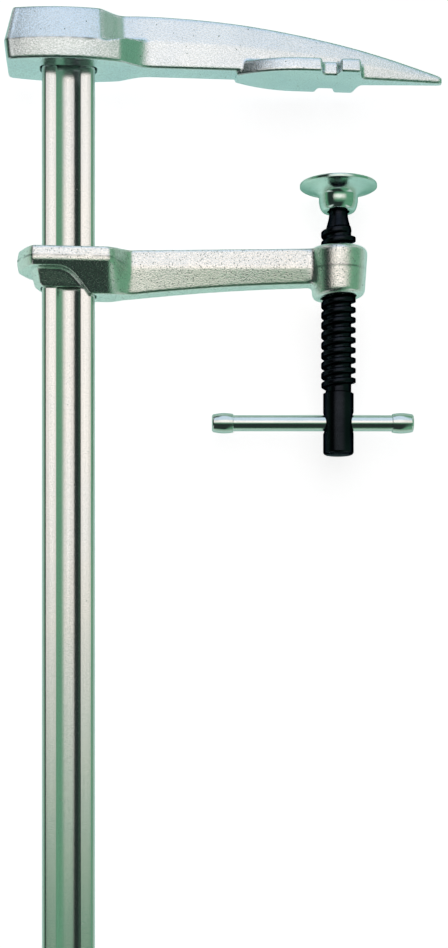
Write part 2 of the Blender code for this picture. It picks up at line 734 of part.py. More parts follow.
def make_sliding_arm(collection, cutters, material):
    """The forged sliding arm: body and boss, with its rail slot, bore and scooped cheeks."""
    arm = slide_body(collection, material)
    reach = EYE_HALF_DEPTH + CUTTER_OVER

    def leaning(u, v, level):
        return (u + INNER_SLANT * abs(level) if u < RAIL_X - RAIL_WIDTH / 2 else u, v, level)

    def widening(u, v, level):
        fall = BOSS_TOP - EYE_BAND_LOW - v if abs(level) < reach else 0
        z = math.copysign(abs(level) - POCKET_SLOPE * fall, level)
        return (u + POCKET_STEP + POCKET_DRAFT * (abs(level) - POCKET_HALF_DEPTH), v, z)

    pocket = pocket_outline()
    depths = (-reach, 0, reach)
    undercut = make_cutter(prism("undercut", undercut_outline(), depths, leaning, cutters))
    front = make_cutter(prism("pocket_front", pocket, (POCKET_HALF_DEPTH, reach), widening, cutters))
    rear = make_cutter(prism("pocket_rear", pocket, (-reach, -POCKET_HALF_DEPTH), widening, cutters))
    boss = make_cutter(loft("boss", boss_rings(), cutters, halves=False))
    heights = (BOSS_TOP - EYE_LOW - CUTTER_OVER, BOSS_TOP + CUTTER_OVER)
    beside_rail = lambda u, v, y: (RAIL_X + u, y, v)
    slot = make_cutter(prism("rail_slot", rail_fit(SLIDE_CLEARANCE), heights, beside_rail, cutters))
    round_outline = arc((0, 0), BORE_RADIUS, 0, 2 * math.pi, BOSS_SIDES)[:-1]
    bore = make_cutter(prism("screw_bore", round_outline, heights, lambda u, v, y: (u, y, v), cutters))
    smooth(boss)
    smooth(bore)
    for cutter in (undercut, front, rear):
        add_boolean(arm, cutter, "DIFFERENCE")
    add_boolean(arm, boss, "UNION")
    for cutter in (slot, bore):
        add_boolean(arm, cutter, "DIFFERENCE")
    smooth(arm)
    return arm


# The screw
def thread_profile():
    """One pitch of the thread: (share of the pitch, share of the thread's depth)."""
    return (
        (0.00, 0.00),
        (0.13, 0.00),
        (0.25, 0.78),
        (0.33, 1.00),
        (0.67, 1.00),
        (0.75, 0.78),
        (0.87, 0.00),
    )


def root_radius(height):
    """Radius of the screw's core: it flares from the neck to the thread's root."""
    start, end = PLATE_FACE - NECK_FLARE_START, PLATE_FACE - NECK_FLARE_END
    t = min(1.0, max(0.0, (height - start) / (end - start)))
    return blend(NECK_RADIUS, THREAD_ROOT, t * t * (2 - t))


def screw_rings_above():
    """(radius, height) of the rings from the ball's top down to the first thread."""
    centre = PLATE_FACE - BALL_DEPTH
    neck_angle = math.asin(NECK_RADIUS / BALL_RADIUS)
    rings = []
    for k in range(1, 9):
        angle = (math.pi - neck_angle) * k / 8
        rings.append((BALL_RADIUS * math.sin(angle), centre + BALL_RADIUS * math.cos(angle)))
    for height in span(PLATE_FACE - NECK_FLARE_START, THREAD_TOP + CLEARANCE, 4):
        rings.append((root_radius(height), height))
    return rings


def screw_rings_below():
    """(radius, height) of the rings from the last thread down to the shank's end."""
    return [
        (THREAD_ROOT, THREAD_BOTTOM - 0.2 * SHANK_TOP_CHAMFER),
        (SHANK_RADIUS, SHANK_TOP),
        (SHANK_RADIUS, SHANK_END + SHANK_END_CHAMFER),
        (SHANK_RADIUS - 0.3 * SHANK_END_CHAMFER, SHANK_END + 0.4 * SHANK_END_CHAMFER),
        (SHANK_RADIUS - SHANK_END_CHAMFER, SHANK_END),
        (CENTRE_HOLE_RADIUS, SHANK_END),
    ]


def screw_mesh(name, collection, material):
    """The screw in one skin: turned ends, and a helical strip that is stitched to itself each turn."""
    builder = bmesh.new()
    profile = thread_profile()
    turns = THREAD_LENGTH / THREAD_PITCH - 1
    steps = int(turns * SCREW_SIDES)
    angle_step = 2 * math.pi / SCREW_SIDES

    def at(angle, radius, height):
        return builder.verts.new((radius * math.cos(angle), height, radius * math.sin(angle)))

    def ring(radius, height):
        return [at(i * angle_step, radius, height) for i in range(SCREW_SIDES)]

    def on_thread(step, share, rise):
        height = THREAD_TOP - THREAD_PITCH * (step / SCREW_SIDES + share)
        core = root_radius(height)
        return at(step * angle_step, core + rise * (THREAD_RADIUS - core), height)

    start_steps, end_steps = THREAD_START_TURNS * SCREW_SIDES, THREAD_END_TURNS * SCREW_SIDES
    lines = []
    for step in range(steps + 1):
        fade = min(1.0, step / start_steps, (steps - step) / end_steps)
        lines.append([on_thread(step, share, fade * rise) for share, rise in profile])
    ends = [on_thread(step, 1, 0) for step in range(steps - SCREW_SIDES + 1, steps + 1)]

    def full_line(step):
        following = step + SCREW_SIDES
        last = lines[following][0] if following <= steps else ends[following - steps - 1]
        return lines[step] + [last]

    for step in range(steps):
        here, there = full_line(step), full_line(step + 1)
        for k in range(len(profile)):
            builder.faces.new((here[k], here[k + 1], there[k + 1], there[k]))

    def join(upper, lower):
        for i in range(SCREW_SIDES):
            j = (i + 1) % SCREW_SIDES
            builder.faces.new((upper[i], lower[i], lower[j], upper[j]))

    above = [ring(radius, height) for radius, height in screw_rings_above()]
    top = builder.verts.new((0, PLATE_FACE - BALL_DEPTH + BALL_RADIUS, 0))
    for i in range(SCREW_SIDES):
        builder.faces.new((top, above[0][i], above[0][(i + 1) % SCREW_SIDES]))
    for upper, lower in zip(above, above[1:]):
        join(upper, lower)
    for i in range(SCREW_SIDES - 1):
        builder.faces.new((above[-1][i], lines[i][0], lines[i + 1][0], above[-1][i + 1]))
    seam = list(reversed(full_line(0)))
    builder.faces.new([above[-1][-1], lines[SCREW_SIDES - 1][0], *seam, above[-1][0]])

    below = [ring(radius, height) for radius, height in screw_rings_below()]
    offset = steps % SCREW_SIDES
    below = [turned_ring[offset:] + turned_ring[:offset] for turned_ring in below]
    last_turn = [full_line(s)[-1] for s in range(steps - SCREW_SIDES, steps + 1)]
    builder.faces.new([*full_line(steps), below[0][0], below[0][1], last_turn[1]])
    for i in range(1, SCREW_SIDES):
        j = (i + 1) % SCREW_SIDES
        builder.faces.new((last_turn[i], below[0][i], below[0][j], last_turn[i + 1]))
    for upper, lower in zip(below, below[1:]):
        join(upper, lower)
    dimple = builder.verts.new((0, SHANK_END + CENTRE_HOLE_RADIUS, 0))
    for i in range(SCREW_SIDES):
        builder.faces.new((below[-1][i], dimple, below[-1][(i + 1) % SCREW_SIDES]))
    return mesh_object(name, builder, collection, material)


def make_spindle(collection, cutters, material):
    """The screw with the cross hole for the T-bar, flared at both mouths."""
    spindle = screw_mesh("spindle", collection, material)
    reach = SHANK_RADIUS + 2 * MM
    mouth = SHANK_RADIUS - CROSS_HOLE_FLARE
    flare = CROSS_HOLE_RADIUS + reach - mouth
    profile = [
        (0, reach),
        (flare, reach),
        (CROSS_HOLE_RADIUS, mouth),
        (CROSS_HOLE_RADIUS, -mouth),
        (flare, -reach),
        (0, -reach),
    ]
    hole = make_cutter(turned("cross_hole", profile, 24, cutters))
    hole.location = (0, BAR_Y, 0)
    hole.rotation_euler = (0, math.pi / 2 + BAR_TURN, 0)
    add_boolean(spindle, hole, "DIFFERENCE")
    smooth(spindle)
    return spindle


# The pressure plate
def plate_profile():
    """The plate's section from its face down the outside and back up inside the cup."""
    rim = PLATE_RADIUS
    flare = bezier(
        (rim - 0.8 * MM, -PLATE_RIM - 0.5 * MM),
        (blend(rim, CUP_RADIUS, 0.55), -PLATE_RIM - 1.6 * MM),
        (CUP_RADIUS + 1.2 * MM, -CUP_TOP + 2.2 * MM),
        (CUP_RADIUS, -CUP_TOP),
        6,
    )
    mouth = NECK_RADIUS + 2 * CLEARANCE
    cavity = BALL_RADIUS + CLEARANCE
    crimp = bezier(
        (CUP_RADIUS, -CUP_SHOULDER),
        (CUP_RADIUS - 0.4 * MM, blend(-CUP_SHOULDER, -CUP_BOTTOM, 0.6)),
        (CUP_MOUTH_EDGE + 1.4 * MM, -CUP_BOTTOM),
        (CUP_MOUTH_EDGE, -CUP_BOTTOM),
        6,
    )
    lip = math.asin(mouth / cavity)
    seat = arc((0, -BALL_DEPTH), cavity, -math.pi / 2 + lip, math.pi / 2, 9)
    return (
        [(0, 0), (rim - PLATE_EDGE, 0), (rim, -PLATE_EDGE), (rim, -PLATE_RIM)]
        + flare
        + crimp
        + [(mouth + 0.5 * MM, -CUP_BOTTOM)]
        + seat[:-1]
        + [(0, -BALL_DEPTH + cavity)]
    )


def make_plate(collection, material):
    """The pressure plate: a turned disc with a cup crimped round the screw's ball."""
    plate = turned("pressure_plate", plate_profile(), 32, collection, material)
    plate.location = (0, PLATE_FACE, 0)
    plate.rotation_euler = (-math.pi / 2, 0, 0)
    smooth(plate)
    return plate


# The T-bar
def on_bar(along):
    """The point of the T-bar's axis that lies so far from the screw's axis."""
    return (along * math.cos(BAR_TURN), BAR_Y, -along * math.sin(BAR_TURN))


def make_bar(collection, material):
    """The T-bar's plain rod, which ends inside its two caps."""
    half = BAR_LENGTH / 2 - CAP_WALL - CLEARANCE
    chamfer = BAR_END_CHAMFER
    radius = BAR_RADIUS
    profile = [
        (0, half),
        (radius - chamfer, half),
        (radius, half - chamfer),
        (radius, chamfer - half),
        (radius - chamfer, -half),
        (0, -half),
    ]
    bar = turned("tommy_bar", profile, 20, collection, material)
    bar.location = on_bar(BAR_OFFSET)
    bar.rotation_euler = (0, math.pi / 2 + BAR_TURN, 0)
    smooth(bar)
    return bar


def make_cap(name, direction, collection, material):
    """A barrel-shaped cap pressed on the bar's end; direction is the way it faces along X."""
    bore = BAR_RADIUS + CLEARANCE
    corner = (CAP_END_RADIUS - CAP_END_ROUND, -CAP_END_ROUND)
    barrel = arc(corner, CAP_END_ROUND, math.pi / 2, 0.15, 4)
    for k in range(1, 7):
        t = k / 6
        swell = math.sin(math.pi * t * 0.94)
        height = blend(-CAP_END_ROUND, -CAP_LENGTH, t)
        barrel.append((blend(CAP_END_RADIUS, CAP_RADIUS, swell), height))
    profile = (
        [(0, 0)]
        + barrel
        + [(bore, -CAP_LENGTH), (bore, -CAP_WALL), (0, -CAP_WALL)]
    )
    cap = turned(name, profile, 20, collection, material)
    cap.location = on_bar(BAR_OFFSET + direction * BAR_LENGTH / 2)
    cap.rotation_euler = (0, direction * math.pi / 2 + BAR_TURN, 0)
    smooth(cap)
    return cap


def hang_on(parent_name, children, place, collection):
    """Parents objects to an empty that stands on their joint's axis, and keeps their places."""
    empty = bpy.data.objects.new(parent_name, None)
    empty.location = place
    collection.objects.link(empty)
    for child in children:
        child.parent = empty
        child.matrix_parent_inverse = Matrix.Translation(-Vector(place))
    return empty


def main():
    clear_scene()
    parts = make_collection("rafter_clamp")
    cutters = make_collection("cutters")
    zinc = make_material("zinc_plated_forging", (0.66, 0.70, 0.68), 0.38, 1.0)
    bright = make_material("zinc_plated_bar", (0.72, 0.74, 0.71), 0.28, 1.0)
    rolled = make_material("zinc_plated_rail", (0.74, 0.75, 0.74), 0.32, 1.0)
    black = make_material("black_oxide_screw", (0.020, 0.022, 0.026), 0.36, 0.6)
    make_rail(parts, rolled)
    make_fixed_arm(parts, cutters, zinc)
    sliding_arm = make_sliding_arm(parts, cutters, zinc)
    spindle = make_spindle(parts, cutters, black)
    plate = make_plate(parts, bright)
    bar = make_bar(parts, bright)
    caps = [
        make_cap("tommy_bar_cap_left", -1, parts, bright),
        make_cap("tommy_bar_cap_right", 1, parts, bright),
    ]
    slide = hang_on("slide_axis", [sliding_arm], (RAIL_X, BOSS_TOP, 0), parts)
    screw = hang_on("screw_axis", [spindle, plate], (0, BOSS_TOP, 0), parts)
    hang_on("bar_axis", [bar, *caps], on_bar(BAR_OFFSET), parts)
    screw.parent = slide
    screw.matrix_parent_inverse = Matrix.Translation(-slide.location)


main()
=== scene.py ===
"""Rafter clamp, dressed for its picture: a zinc plated rail, two forged arms, a black screw, a pressure
plate and a T-bar.

The clamp lies flat. X runs from the rail to the tips of the arms, Y along the rail towards the fixed
arm, and Z up. The origin is the point of the fixed jaw's face on the screw's axis. Metres.
"""

from __future__ import annotations

import logging
import math
from dataclasses import dataclass, replace
from enum import Enum
from typing import Callable, Sequence

import bmesh
import bpy
import numpy as np
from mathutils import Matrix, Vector, noise

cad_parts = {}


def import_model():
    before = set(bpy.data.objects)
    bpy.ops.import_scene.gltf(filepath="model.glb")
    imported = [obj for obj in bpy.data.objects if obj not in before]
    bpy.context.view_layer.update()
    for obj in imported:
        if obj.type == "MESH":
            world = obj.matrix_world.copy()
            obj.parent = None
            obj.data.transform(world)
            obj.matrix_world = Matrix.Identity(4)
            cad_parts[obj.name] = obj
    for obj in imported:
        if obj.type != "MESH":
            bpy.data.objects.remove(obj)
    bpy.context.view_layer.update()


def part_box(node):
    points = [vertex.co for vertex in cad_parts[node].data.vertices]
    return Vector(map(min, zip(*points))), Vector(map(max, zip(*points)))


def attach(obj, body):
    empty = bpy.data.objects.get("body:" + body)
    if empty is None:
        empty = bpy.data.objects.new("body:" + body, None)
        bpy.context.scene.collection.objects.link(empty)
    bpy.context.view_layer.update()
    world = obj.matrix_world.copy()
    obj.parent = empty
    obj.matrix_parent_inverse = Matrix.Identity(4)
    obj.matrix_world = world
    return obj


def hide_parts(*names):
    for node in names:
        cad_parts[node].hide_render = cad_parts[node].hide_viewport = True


MM = 0.001
DEG = math.pi / 180
QUARTER = math.pi / 2
HALF = 2 * QUARTER
ROUND = 4 * QUARTER
SHARP = 35 * DEG
WELD = 0.001 * MM
UP = Vector((0, 1, 0))
FLASH_LINE = "flash_line"

Point = tuple[float, float]
Colour = tuple[float, float, float]
Solid = bpy.types.Object
Socket = bpy.types.NodeSocket
AlongX = Callable[[float], float]

log = logging.getLogger("rafter_clamp")


class Body(Enum):
    """The moving bodies that pieces ride on."""

    RAIL = "rail_and_fixed_arm"
    SLIDE = "sliding_arm"
    PLATE = "plate"
    SCREW = "screw"
    BAR = "t_bar"


class Slot(Enum):
    """The record's material slots."""

    ROLLED = "rolled_zinc"
    FORGED = "forged_zinc"
    BRIGHT = "bright_zinc"
    BLACK = "black_oxide"


class End(Enum):
    """The two ends of the T-bar, by the way that they face along it."""

    LEFT = -1
    RIGHT = 1


# Curves and outlines


def blend(a: float, b: float, t: float) -> float:
    """The value a share t of the way from a to b."""
    return a + (b - a) * t


def held(t: float) -> float:
    """A value held between 0 and 1."""
    return min(1.0, max(0.0, t))


def ease(t: float) -> float:
    """A smooth step from 0 to 1, held at both ends."""
    t = held(t)
    return t * t * (3 - 2 * t)


def span(start: float, end: float, steps: int) -> list[float]:
    """Evenly spaced values from start to end, both included."""
    return [blend(start, end, i / steps) for i in range(steps + 1)]


def arc(centre: Point, radius: float, start: float, end: float, steps: int) -> list[Point]:
    """Points of an arc between two angles, both ends included."""
    angles = span(start, end, steps)
    return [(centre[0] + radius * math.cos(a), centre[1] + radius * math.sin(a)) for a in angles]


def bezier(corners: Sequence[Point], steps: int) -> list[Point]:
    """Points of the cubic curve with this start, two handles and end, both ends included."""
    rows = [((1 - t) ** 3, 3 * t * (1 - t) ** 2, 3 * t * t * (1 - t), t**3) for t in span(0, 1, steps)]
    return [tuple(sum(w * c[k] for w, c in zip(row, corners)) for k in (0, 1)) for row in rows]


def corner_round(edge: float, steps: int) -> list[Point]:
    """How far the points of a rounded corner lie in from its two faces, from the one to the other."""
    return [(edge * (1 - math.cos(turn)), edge * (1 - math.sin(turn))) for turn in span(0, QUARTER, steps)]


def sagitta_radius(run: float, rise: float) -> float:
    """Radius of the arc that starts level and rises so far over a run."""
    return (run**2 + rise**2) / (2 * rise)


def mirrored(half: Sequence[Point]) -> list[Point]:
    """A closed outline from its half, with the second coordinate turned over."""
    return list(half) + [(x, -z) for x, z in reversed(half)]


def ways_in(outline: list[Point]) -> list[Vector]:
    """The unit way into a closed outline at each of its points."""
    tangents = (Vector(b) - Vector(a) for a, b in zip(outline[-1:] + outline[:-1], outline[1:] + outline[:1]))
    return [Vector((way.y, -way.x)) for way in (tangent.normalized() for tangent in tangents)]


def eased(outline: Sequence[Point], reach: float, most: float = 0.4) -> list[Vector]:
    """Rounds each corner of a closed outline.

    Args:
        outline: the outline's corners.
        reach: how far from the corner the rounding starts.
        most: the largest share of a side that it takes.

    Returns:
        The outline with three points for each corner.
    """
    points = []
    for i, corner in enumerate(outline):
        here = Vector(corner)
        sides = [Vector(outline[j % len(outline)]) - here for j in (i - 1, i + 1)]
        start, end = (here + side * min(reach / side.length, most) for side in sides)
        points += [start, (start + end + 2 * here) / 4, end]
    return points


# Meshes


def added(name: str, data: bpy.types.ID) -> Solid:
    """Puts new data into the scene.

    Args:
        name: the object's name.
        data: its mesh, light or camera.

    Returns:
        The object.
    """
    thing = bpy.data.objects.new(name, data)
    bpy.context.scene.collection.objects.link(thing)
    return thing


def join_rings(builder: bmesh.types.BMesh, rings: Sequence[Sequence[bmesh.types.BMVert]]) -> None:
    """Joins closed rings of vertices, each to the next.

    Args:
        builder: the bmesh that takes the faces.
        rings: the rings, of as many vertices each or of a single one.
    """
    for upper, lower in zip(rings, rings[1:]):
        count = max(len(upper), len(lower))
        for i in range(count):
            pairs = ((upper, i), (upper, i + 1), (lower, i + 1), (lower, i))
            builder.faces.new(list(dict.fromkeys(ring[k % len(ring)] for ring, k in pairs)))


def finish_mesh(name: str, builder: bmesh.types.BMesh) -> Solid:
    """Turns a bmesh into an object in the scene.

    Args:
        name: the object's name.
        builder: the bmesh, which is freed.

    Returns:
        The object, shaded smooth between sharp edges, with its faces pointing out.
    """
    bmesh.ops.remove_doubles(builder, verts=builder.verts, dist=WELD)
    bmesh.ops.recalc_face_normals(builder, faces=builder.faces)
    mesh = bpy.data.meshes.new(name)
    builder.to_mesh(mesh)
    builder.free()
    mesh.shade_smooth()
    mesh.set_sharp_from_angle(angle=SHARP)
    return added(name, mesh)


def loft(name: str, loops: Sequence[Sequence[Vector]], halves: bool = False) -> Solid:
    """Closed solid through loops of as many points each.

    Args:
        name: the object's name.
        loops: the loops, from one end to the other.
        halves: whether each loop's second half mirrors its first, so that caps are strips.

    Returns:
        The solid.
    """
    builder = bmesh.new()
    rings = [[builder.verts.new(p) for p in loop] for loop in loops]
    join_rings(builder, rings)
    for ring in (rings[0], rings[-1]):
        if halves:
            for i in range(len(ring) // 2 - 1):
                builder.faces.new((ring[i], ring[i + 1], ring[-i - 2], ring[-i - 1]))
        else:
            builder.faces.new(ring)
    bmesh.ops.triangulate(builder, faces=[f for f in builder.faces if len(f.verts) == 4])
    return finish_mesh(name, builder)


def prism(
    name: str, outline: Sequence[Point], levels: Sequence[float], place: Callable[..., Sequence[float]]
) -> Solid:
    """Closed solid of an outline through levels, with each point placed from (u, v, level)."""
    return loft(name, [[Vector(place(u, v, level)) for u, v in outline] for level in levels])


def turned(name: str, profile: Sequence[Point], sides: int, centre: Vector, along: Vector) -> Solid:
    """Turned solid with a profile of (radius, height) that starts and ends on its axis.

    Args:
        name: the object's name.
        profile: the profile's points.
        sides: how many sides it has.
        centre: where height 0 of the profile lies.
        along: the direction that the heights run in.

    Returns:
        The solid.
    """
    first = along.orthogonal().normalized()
    second = along.cross(first)
    builder = bmesh.new()
    rings = []
    for radius, height in profile:
        angles = [ROUND * i / sides for i in range(sides if radius > 0 else 1)]
        ways = [first * math.cos(angle) + second * math.sin(angle) for angle in angles]
        rings.append([builder.verts.new(centre + along * height + way * radius) for way in ways])
    join_rings(builder, rings)
    return finish_mesh(name, builder)


def cut(thing: Solid, tools: Sequence[Solid], operation: str = "DIFFERENCE") -> None:
    """Adds exact Booleans to an object.

    Args:
        thing: the object.
        tools: the objects that cut it, in order.
        operation: what they do to it.
    """
    for tool in tools:
        modifier = thing.modifiers.new(tool.name, "BOOLEAN")
        modifier.operation = operation
        modifier.solver = "EXACT"
        modifier.object = tool


def baked(thing: Solid, tools: Sequence[Solid]) -> Solid:
    """Makes the object's modifiers its own mesh.

    Args:
        thing: the object with modifiers.
        tools: the objects that they used, which are removed.

    Returns:
        The same object.
    """
    bpy.context.view_layer.update()
    graph = bpy.context.evaluated_depsgraph_get()
    mesh = bpy.data.meshes.new_from_object(thing.evaluated_get(graph))
    thing.modifiers.clear()
    thing.data = mesh
    for tool in tools:
        bpy.data.objects.remove(tool)
    return thing


def values_of(items: bpy.types.bpy_prop_collection, name: str, width: int, kind: type = float) -> np.ndarray:
    """A property of a mesh's elements.

    Args:
        items: the elements.
        name: the property's name.
        width: how many values each element has.
        kind: their type.

    Returns:
        The values, with a row for each element.
    """
    values = np.empty(len(items) * width, kind)
    items.foreach_get(name, values)
    return values.reshape(-1, width)


# Shader nodes


class NodeSheet:
    """Adds and joins nodes in one node tree."""

    def __init__(self, tree: bpy.types.NodeTree) -> None:
        """Keeps the tree."""
        self.tree = tree

    @classmethod
    def of(cls, owner: bpy.types.Material | bpy.types.World) -> NodeSheet:
        """The sheet of a material's or world's own tree.

        Args:
            owner: the material or world, whose first nodes are removed.

        Returns:
            The sheet.
        """
        owner.use_nodes = True
        owner.node_tree.nodes.clear()
        return cls(owner.node_tree)

    def put(self, socket: Socket, value: object) -> None:
        """Gives an input a value, or joins it to the socket that gives one."""
        if isinstance(value, bpy.types.NodeSocket):
            self.tree.links.new(value, socket)
        else:
            socket.default_value = value

    def add(
        self, kind: str, inputs: dict[str | int, object] | None = None, **settings: object
    ) -> bpy.types.Node:
        """Adds a node.

        Args:
            kind: the node's type name.
            inputs: values or sockets for its inputs, by name or number.
            settings: its own settings.

        Returns:
            The node.
        """
        node = self.tree.nodes.new(kind)
        for name, value in settings.items():
            setattr(node, name, value)
        for name, value in (inputs or {}).items():
            self.put(node.inputs[name], value)
        return node

    def math(self, operation: str, *values: object) -> Socket:
        """The result of a Math operation, from left to right where there are more than two values."""
        made = self.add("ShaderNodeMath", dict(enumerate(values[:2])), operation=operation).outputs[0]
        return self.math(operation, made, *values[2:]) if len(values) > 2 else made

    def step(self, value: object, start: float, end: float, low: float = 0, high: float = 1) -> Socket:
        """The value mapped smoothly from the range start to end to the range low to high."""
        inputs = {"Value": value, "From Min": start, "From Max": end, "To Min": low, "To Max": high}
        return self.add("ShaderNodeMapRange", inputs, interpolation_type="SMOOTHSTEP").outputs[0]

    def mix(self, share: Socket, first: object, second: object) -> Socket:
        """A colour mixed from two.

        Args:
            share: the share of the second.
            first: the first colour, or its socket.
            second: the second.

        Returns:
            The mixed colour's socket.
        """
        node = self.add("ShaderNodeMix", {0: share}, data_type="RGBA")
        for socket, value in zip(node.inputs[6:8], (first, second)):
            self.put(socket, value if isinstance(value, bpy.types.NodeSocket) else (*value, 1.0))
        return node.outputs[2]


class Effect:
    """A shader node group that gives values which vary over the surface."""

    def __init__(self, name: str, inputs: Sequence[str], outputs: Sequence[str]) -> None:
        """Makes an empty group.

        Args:
            name: the group's name.
            inputs: the names of its number inputs, beside a Vector.
            outputs: the names of its outputs.
        """
        self.tree = bpy.data.node_groups.new(name, "ShaderNodeTree")
        sockets = [("Vector", "INPUT", "NodeSocketVector")]
        sockets += [(label, "INPUT", "NodeSocketFloat") for label in inputs]
        sockets += [(label, "OUTPUT", "NodeSocketFloat") for label in outputs]
        for label, way, kind in sockets:
            self.tree.interface.new_socket(label, in_out=way, socket_type=kind)
        self.sheet = NodeSheet(self.tree)
        self.given = self.sheet.add("NodeGroupInput").outputs
        self.result = self.sheet.add("NodeGroupOutput").inputs

    def give(self, name: str, value: Socket) -> None:
        """Joins a value to one of the group's outputs."""
        self.tree.links.new(value, self.result[name])

    def noise(self, scale: object, detail: float, roughness: float) -> Socket:
        """The value of a noise over the group's coordinates."""
        inputs = {"Vector": self.given["Vector"], "Scale": scale, "Detail": detail, "Roughness": roughness}
        return self.sheet.add("ShaderNodeTexNoise", inputs).outputs["Fac"]

    def place(self, sheet: NodeSheet, vector: Socket, **values: float) -> bpy.types.NodeOutputs:
        """Places the group on a material's sheet, over these coordinates and with these inputs."""
        inputs = {"Vector": vector} | {name.capitalize(): value for name, value in values.items()}
        return sheet.add("ShaderNodeGroup", inputs, node_tree=self.tree).outputs


# Finishes


class Effects:
    """The surface effects that the finishes share."""

    def __init__(self) -> None:
        """Builds the groups: grain with cloudy patches, rolled or turned lines, and scattered pits."""
        self.grain = grain = Effect("plating_grain", ("Grain", "Patch"), ("Grain", "Patches"))
        fine = grain.noise(grain.given["Grain"], detail=3.0, roughness=0.7)
        broad = grain.noise(grain.given["Patch"], detail=4.0, roughness=0.55)
        grain.give("Grain", grain.sheet.step(fine, start=0.36, end=0.72))
        grain.give("Patches", grain.sheet.step(broad, start=0.35, end=0.65))

        self.streaks = streaks = Effect("streaks", (), ("Streaks",))
        lines = streaks.noise(1.0, detail=5.0, roughness=0.7)
        streaks.give("Streaks", streaks.sheet.step(lines, start=0.32, end=0.68))

        self.pits = pits = Effect("pits", ("Spacing", "Size", "Rarity"), ("Pits",))
        given, sheet = pits.given, pits.sheet
        cells = sheet.add("ShaderNodeTexVoronoi", {"Vector": given["Vector"], "Scale": given["Spacing"]})
        spread = pits.noise(given["Spacing"], detail=1.0, roughness=0.5)
        near = sheet.math("LESS_THAN", cells.outputs["Distance"], given["Size"])
        allowed = sheet.math("GREATER_THAN", spread, given["Rarity"])
        pits.give("Pits", sheet.math("MULTIPLY", near, allowed))


@dataclass(frozen=True)
class Finish:
    """A metal finish: grain, lines and pits of shade over patches of tone, which also lie a little lower."""

    name: str
    slot: Slot
    light: Colour
    shade: Colour
    patch: Colour
    edge_tint: Colour
    smoothest: float
    roughest: float
    grain: float
    grain_share: float
    patch_scale: float
    pit_spacing: float
    pit_size: float
    pit_rarity: float
    bump: float
    stretch: tuple[float, float, float]
    streak_share: float
    relief: float = 0.1 * MM
    # How strongly the flash line is darkened, and the dark tone it takes. The trimmed flash is real, but its
    # dark line is partly painted shade.
    flash: float = 0.0
    flash_painted_shade_tone: Colour = (0.07, 0.09, 0.09)

    def material(self, effects: Effects) -> bpy.types.Material:
        """Builds the material.

        Args:
            effects: the shared node groups.

        Returns:
            The material.
        """
        made = bpy.data.materials.new(self.name)
        sheet = NodeSheet.of(made)
        where = sheet.add("ShaderNodeTexCoord").outputs["Object"]
        stretched = sheet.add("ShaderNodeMapping", {"Vector": where, "Scale": self.stretch}).outputs[0]
        grain = effects.grain.place(sheet, where, grain=self.grain, patch=self.patch_scale)
        pits = effects.pits.place(
            sheet, where, spacing=self.pit_spacing, size=self.pit_size, rarity=self.pit_rarity
        )
        streaks = effects.streaks.place(sheet, stretched)
        shaded = sheet.math("MULTIPLY", grain["Grain"], self.grain_share)
        lined = sheet.math("MULTIPLY", streaks["Streaks"], self.streak_share)
        worn = sheet.math("MAXIMUM", sheet.math("ADD", shaded, lined), pits["Pits"])
        colour = sheet.mix(worn, sheet.mix(grain["Patches"], self.light, self.patch), self.shade)
        # Darkens the colour along the trimmed flash line. The flash ridge is real, and its dark line is
        # partly painted shade for the dark reflection that the small ridge catches.
        if self.flash:
            line = sheet.add("ShaderNodeAttribute", attribute_name=FLASH_LINE).outputs["Fac"]
            colour = sheet.mix(sheet.math("MULTIPLY", line, self.flash), colour, self.flash_painted_shade_tone)
        height = sheet.math("SUBTRACT", 1.0, worn)
        bump = sheet.add("ShaderNodeBump", {"Height": height, "Strength": self.bump, "Distance": self.relief})
        inputs = {
            "Base Color": colour,
            "Roughness": sheet.step(worn, 0.0, 1.0, self.smoothest, self.roughest),
            "Metallic": 1.0,
            "Specular Tint": (*self.edge_tint, 1.0),
            "Normal": bump.outputs[0],
        }
        shader = sheet.add("ShaderNodeBsdfPrincipled", inputs)
        sheet.add("ShaderNodeOutputMaterial", {"Surface": shader.outputs[0]})
        return made


FORGED = Finish(
    name="satin_zinc_forging",
    slot=Slot.FORGED,
    light=(0.99, 0.96, 0.93),
    shade=(0.32, 0.35, 0.33),
    patch=(0.94, 0.93, 0.92),
    edge_tint=(0.80, 0.92, 0.90),
    smoothest=0.15,
    roughest=0.30,
    grain=1200.0,
    grain_share=0.30,
    patch_scale=38.0,
    pit_spacing=820.0,
    pit_size=0.26,
    pit_rarity=0.50,
    bump=1.0,
    stretch=(60.0, 60.0, 60.0),
    streak_share=0.06,
    relief=0.13 * MM,
    flash=0.9,
)

FORGED_COOL = replace(
    FORGED,
    name="satin_zinc_forging_cool",
    light=(0.88, 0.92, 0.96),
    patch=(0.83, 0.88, 0.94),
    pit_spacing=420.0,
    pit_size=0.16,
    pit_rarity=0.62,
)

ROLLED = Finish(
    name="rolled_zinc_rail",
    slot=Slot.ROLLED,
    light=(0.87, 0.86, 0.85),
    shade=(0.50, 0.54, 0.51),
    patch=(0.83, 0.84, 0.85),
    edge_tint=(0.70, 0.86, 0.80),
    smoothest=0.14,
    roughest=0.28,
    grain=1500.0,
    grain_share=0.36,
    patch_scale=22.0,
    pit_spacing=260.0,
    pit_size=0.10,
    pit_rarity=0.66,
    bump=0.25,
    stretch=(900.0, 14.0, 900.0),
    streak_share=0.16,
)

BRIGHT = Finish(
    name="bright_zinc_turning",
    slot=Slot.BRIGHT,
    light=(0.90, 0.91, 0.90),
    shade=(0.46, 0.54, 0.49),
    patch=(0.85, 0.88, 0.87),
    edge_tint=(0.36, 0.52, 0.46),
    smoothest=0.09,
    roughest=0.24,
    grain=2100.0,
    grain_share=0.30,
    patch_scale=60.0,
    pit_spacing=520.0,
    pit_size=0.12,
    pit_rarity=0.66,
    bump=0.22,
    stretch=(40.0, 1500.0, 40.0),
    streak_share=0.18,
)

BRIGHT_GREEN = replace(
    BRIGHT, name="bright_zinc_plate", light=(0.74, 0.87, 0.81), patch=(0.68, 0.83, 0.79)
)

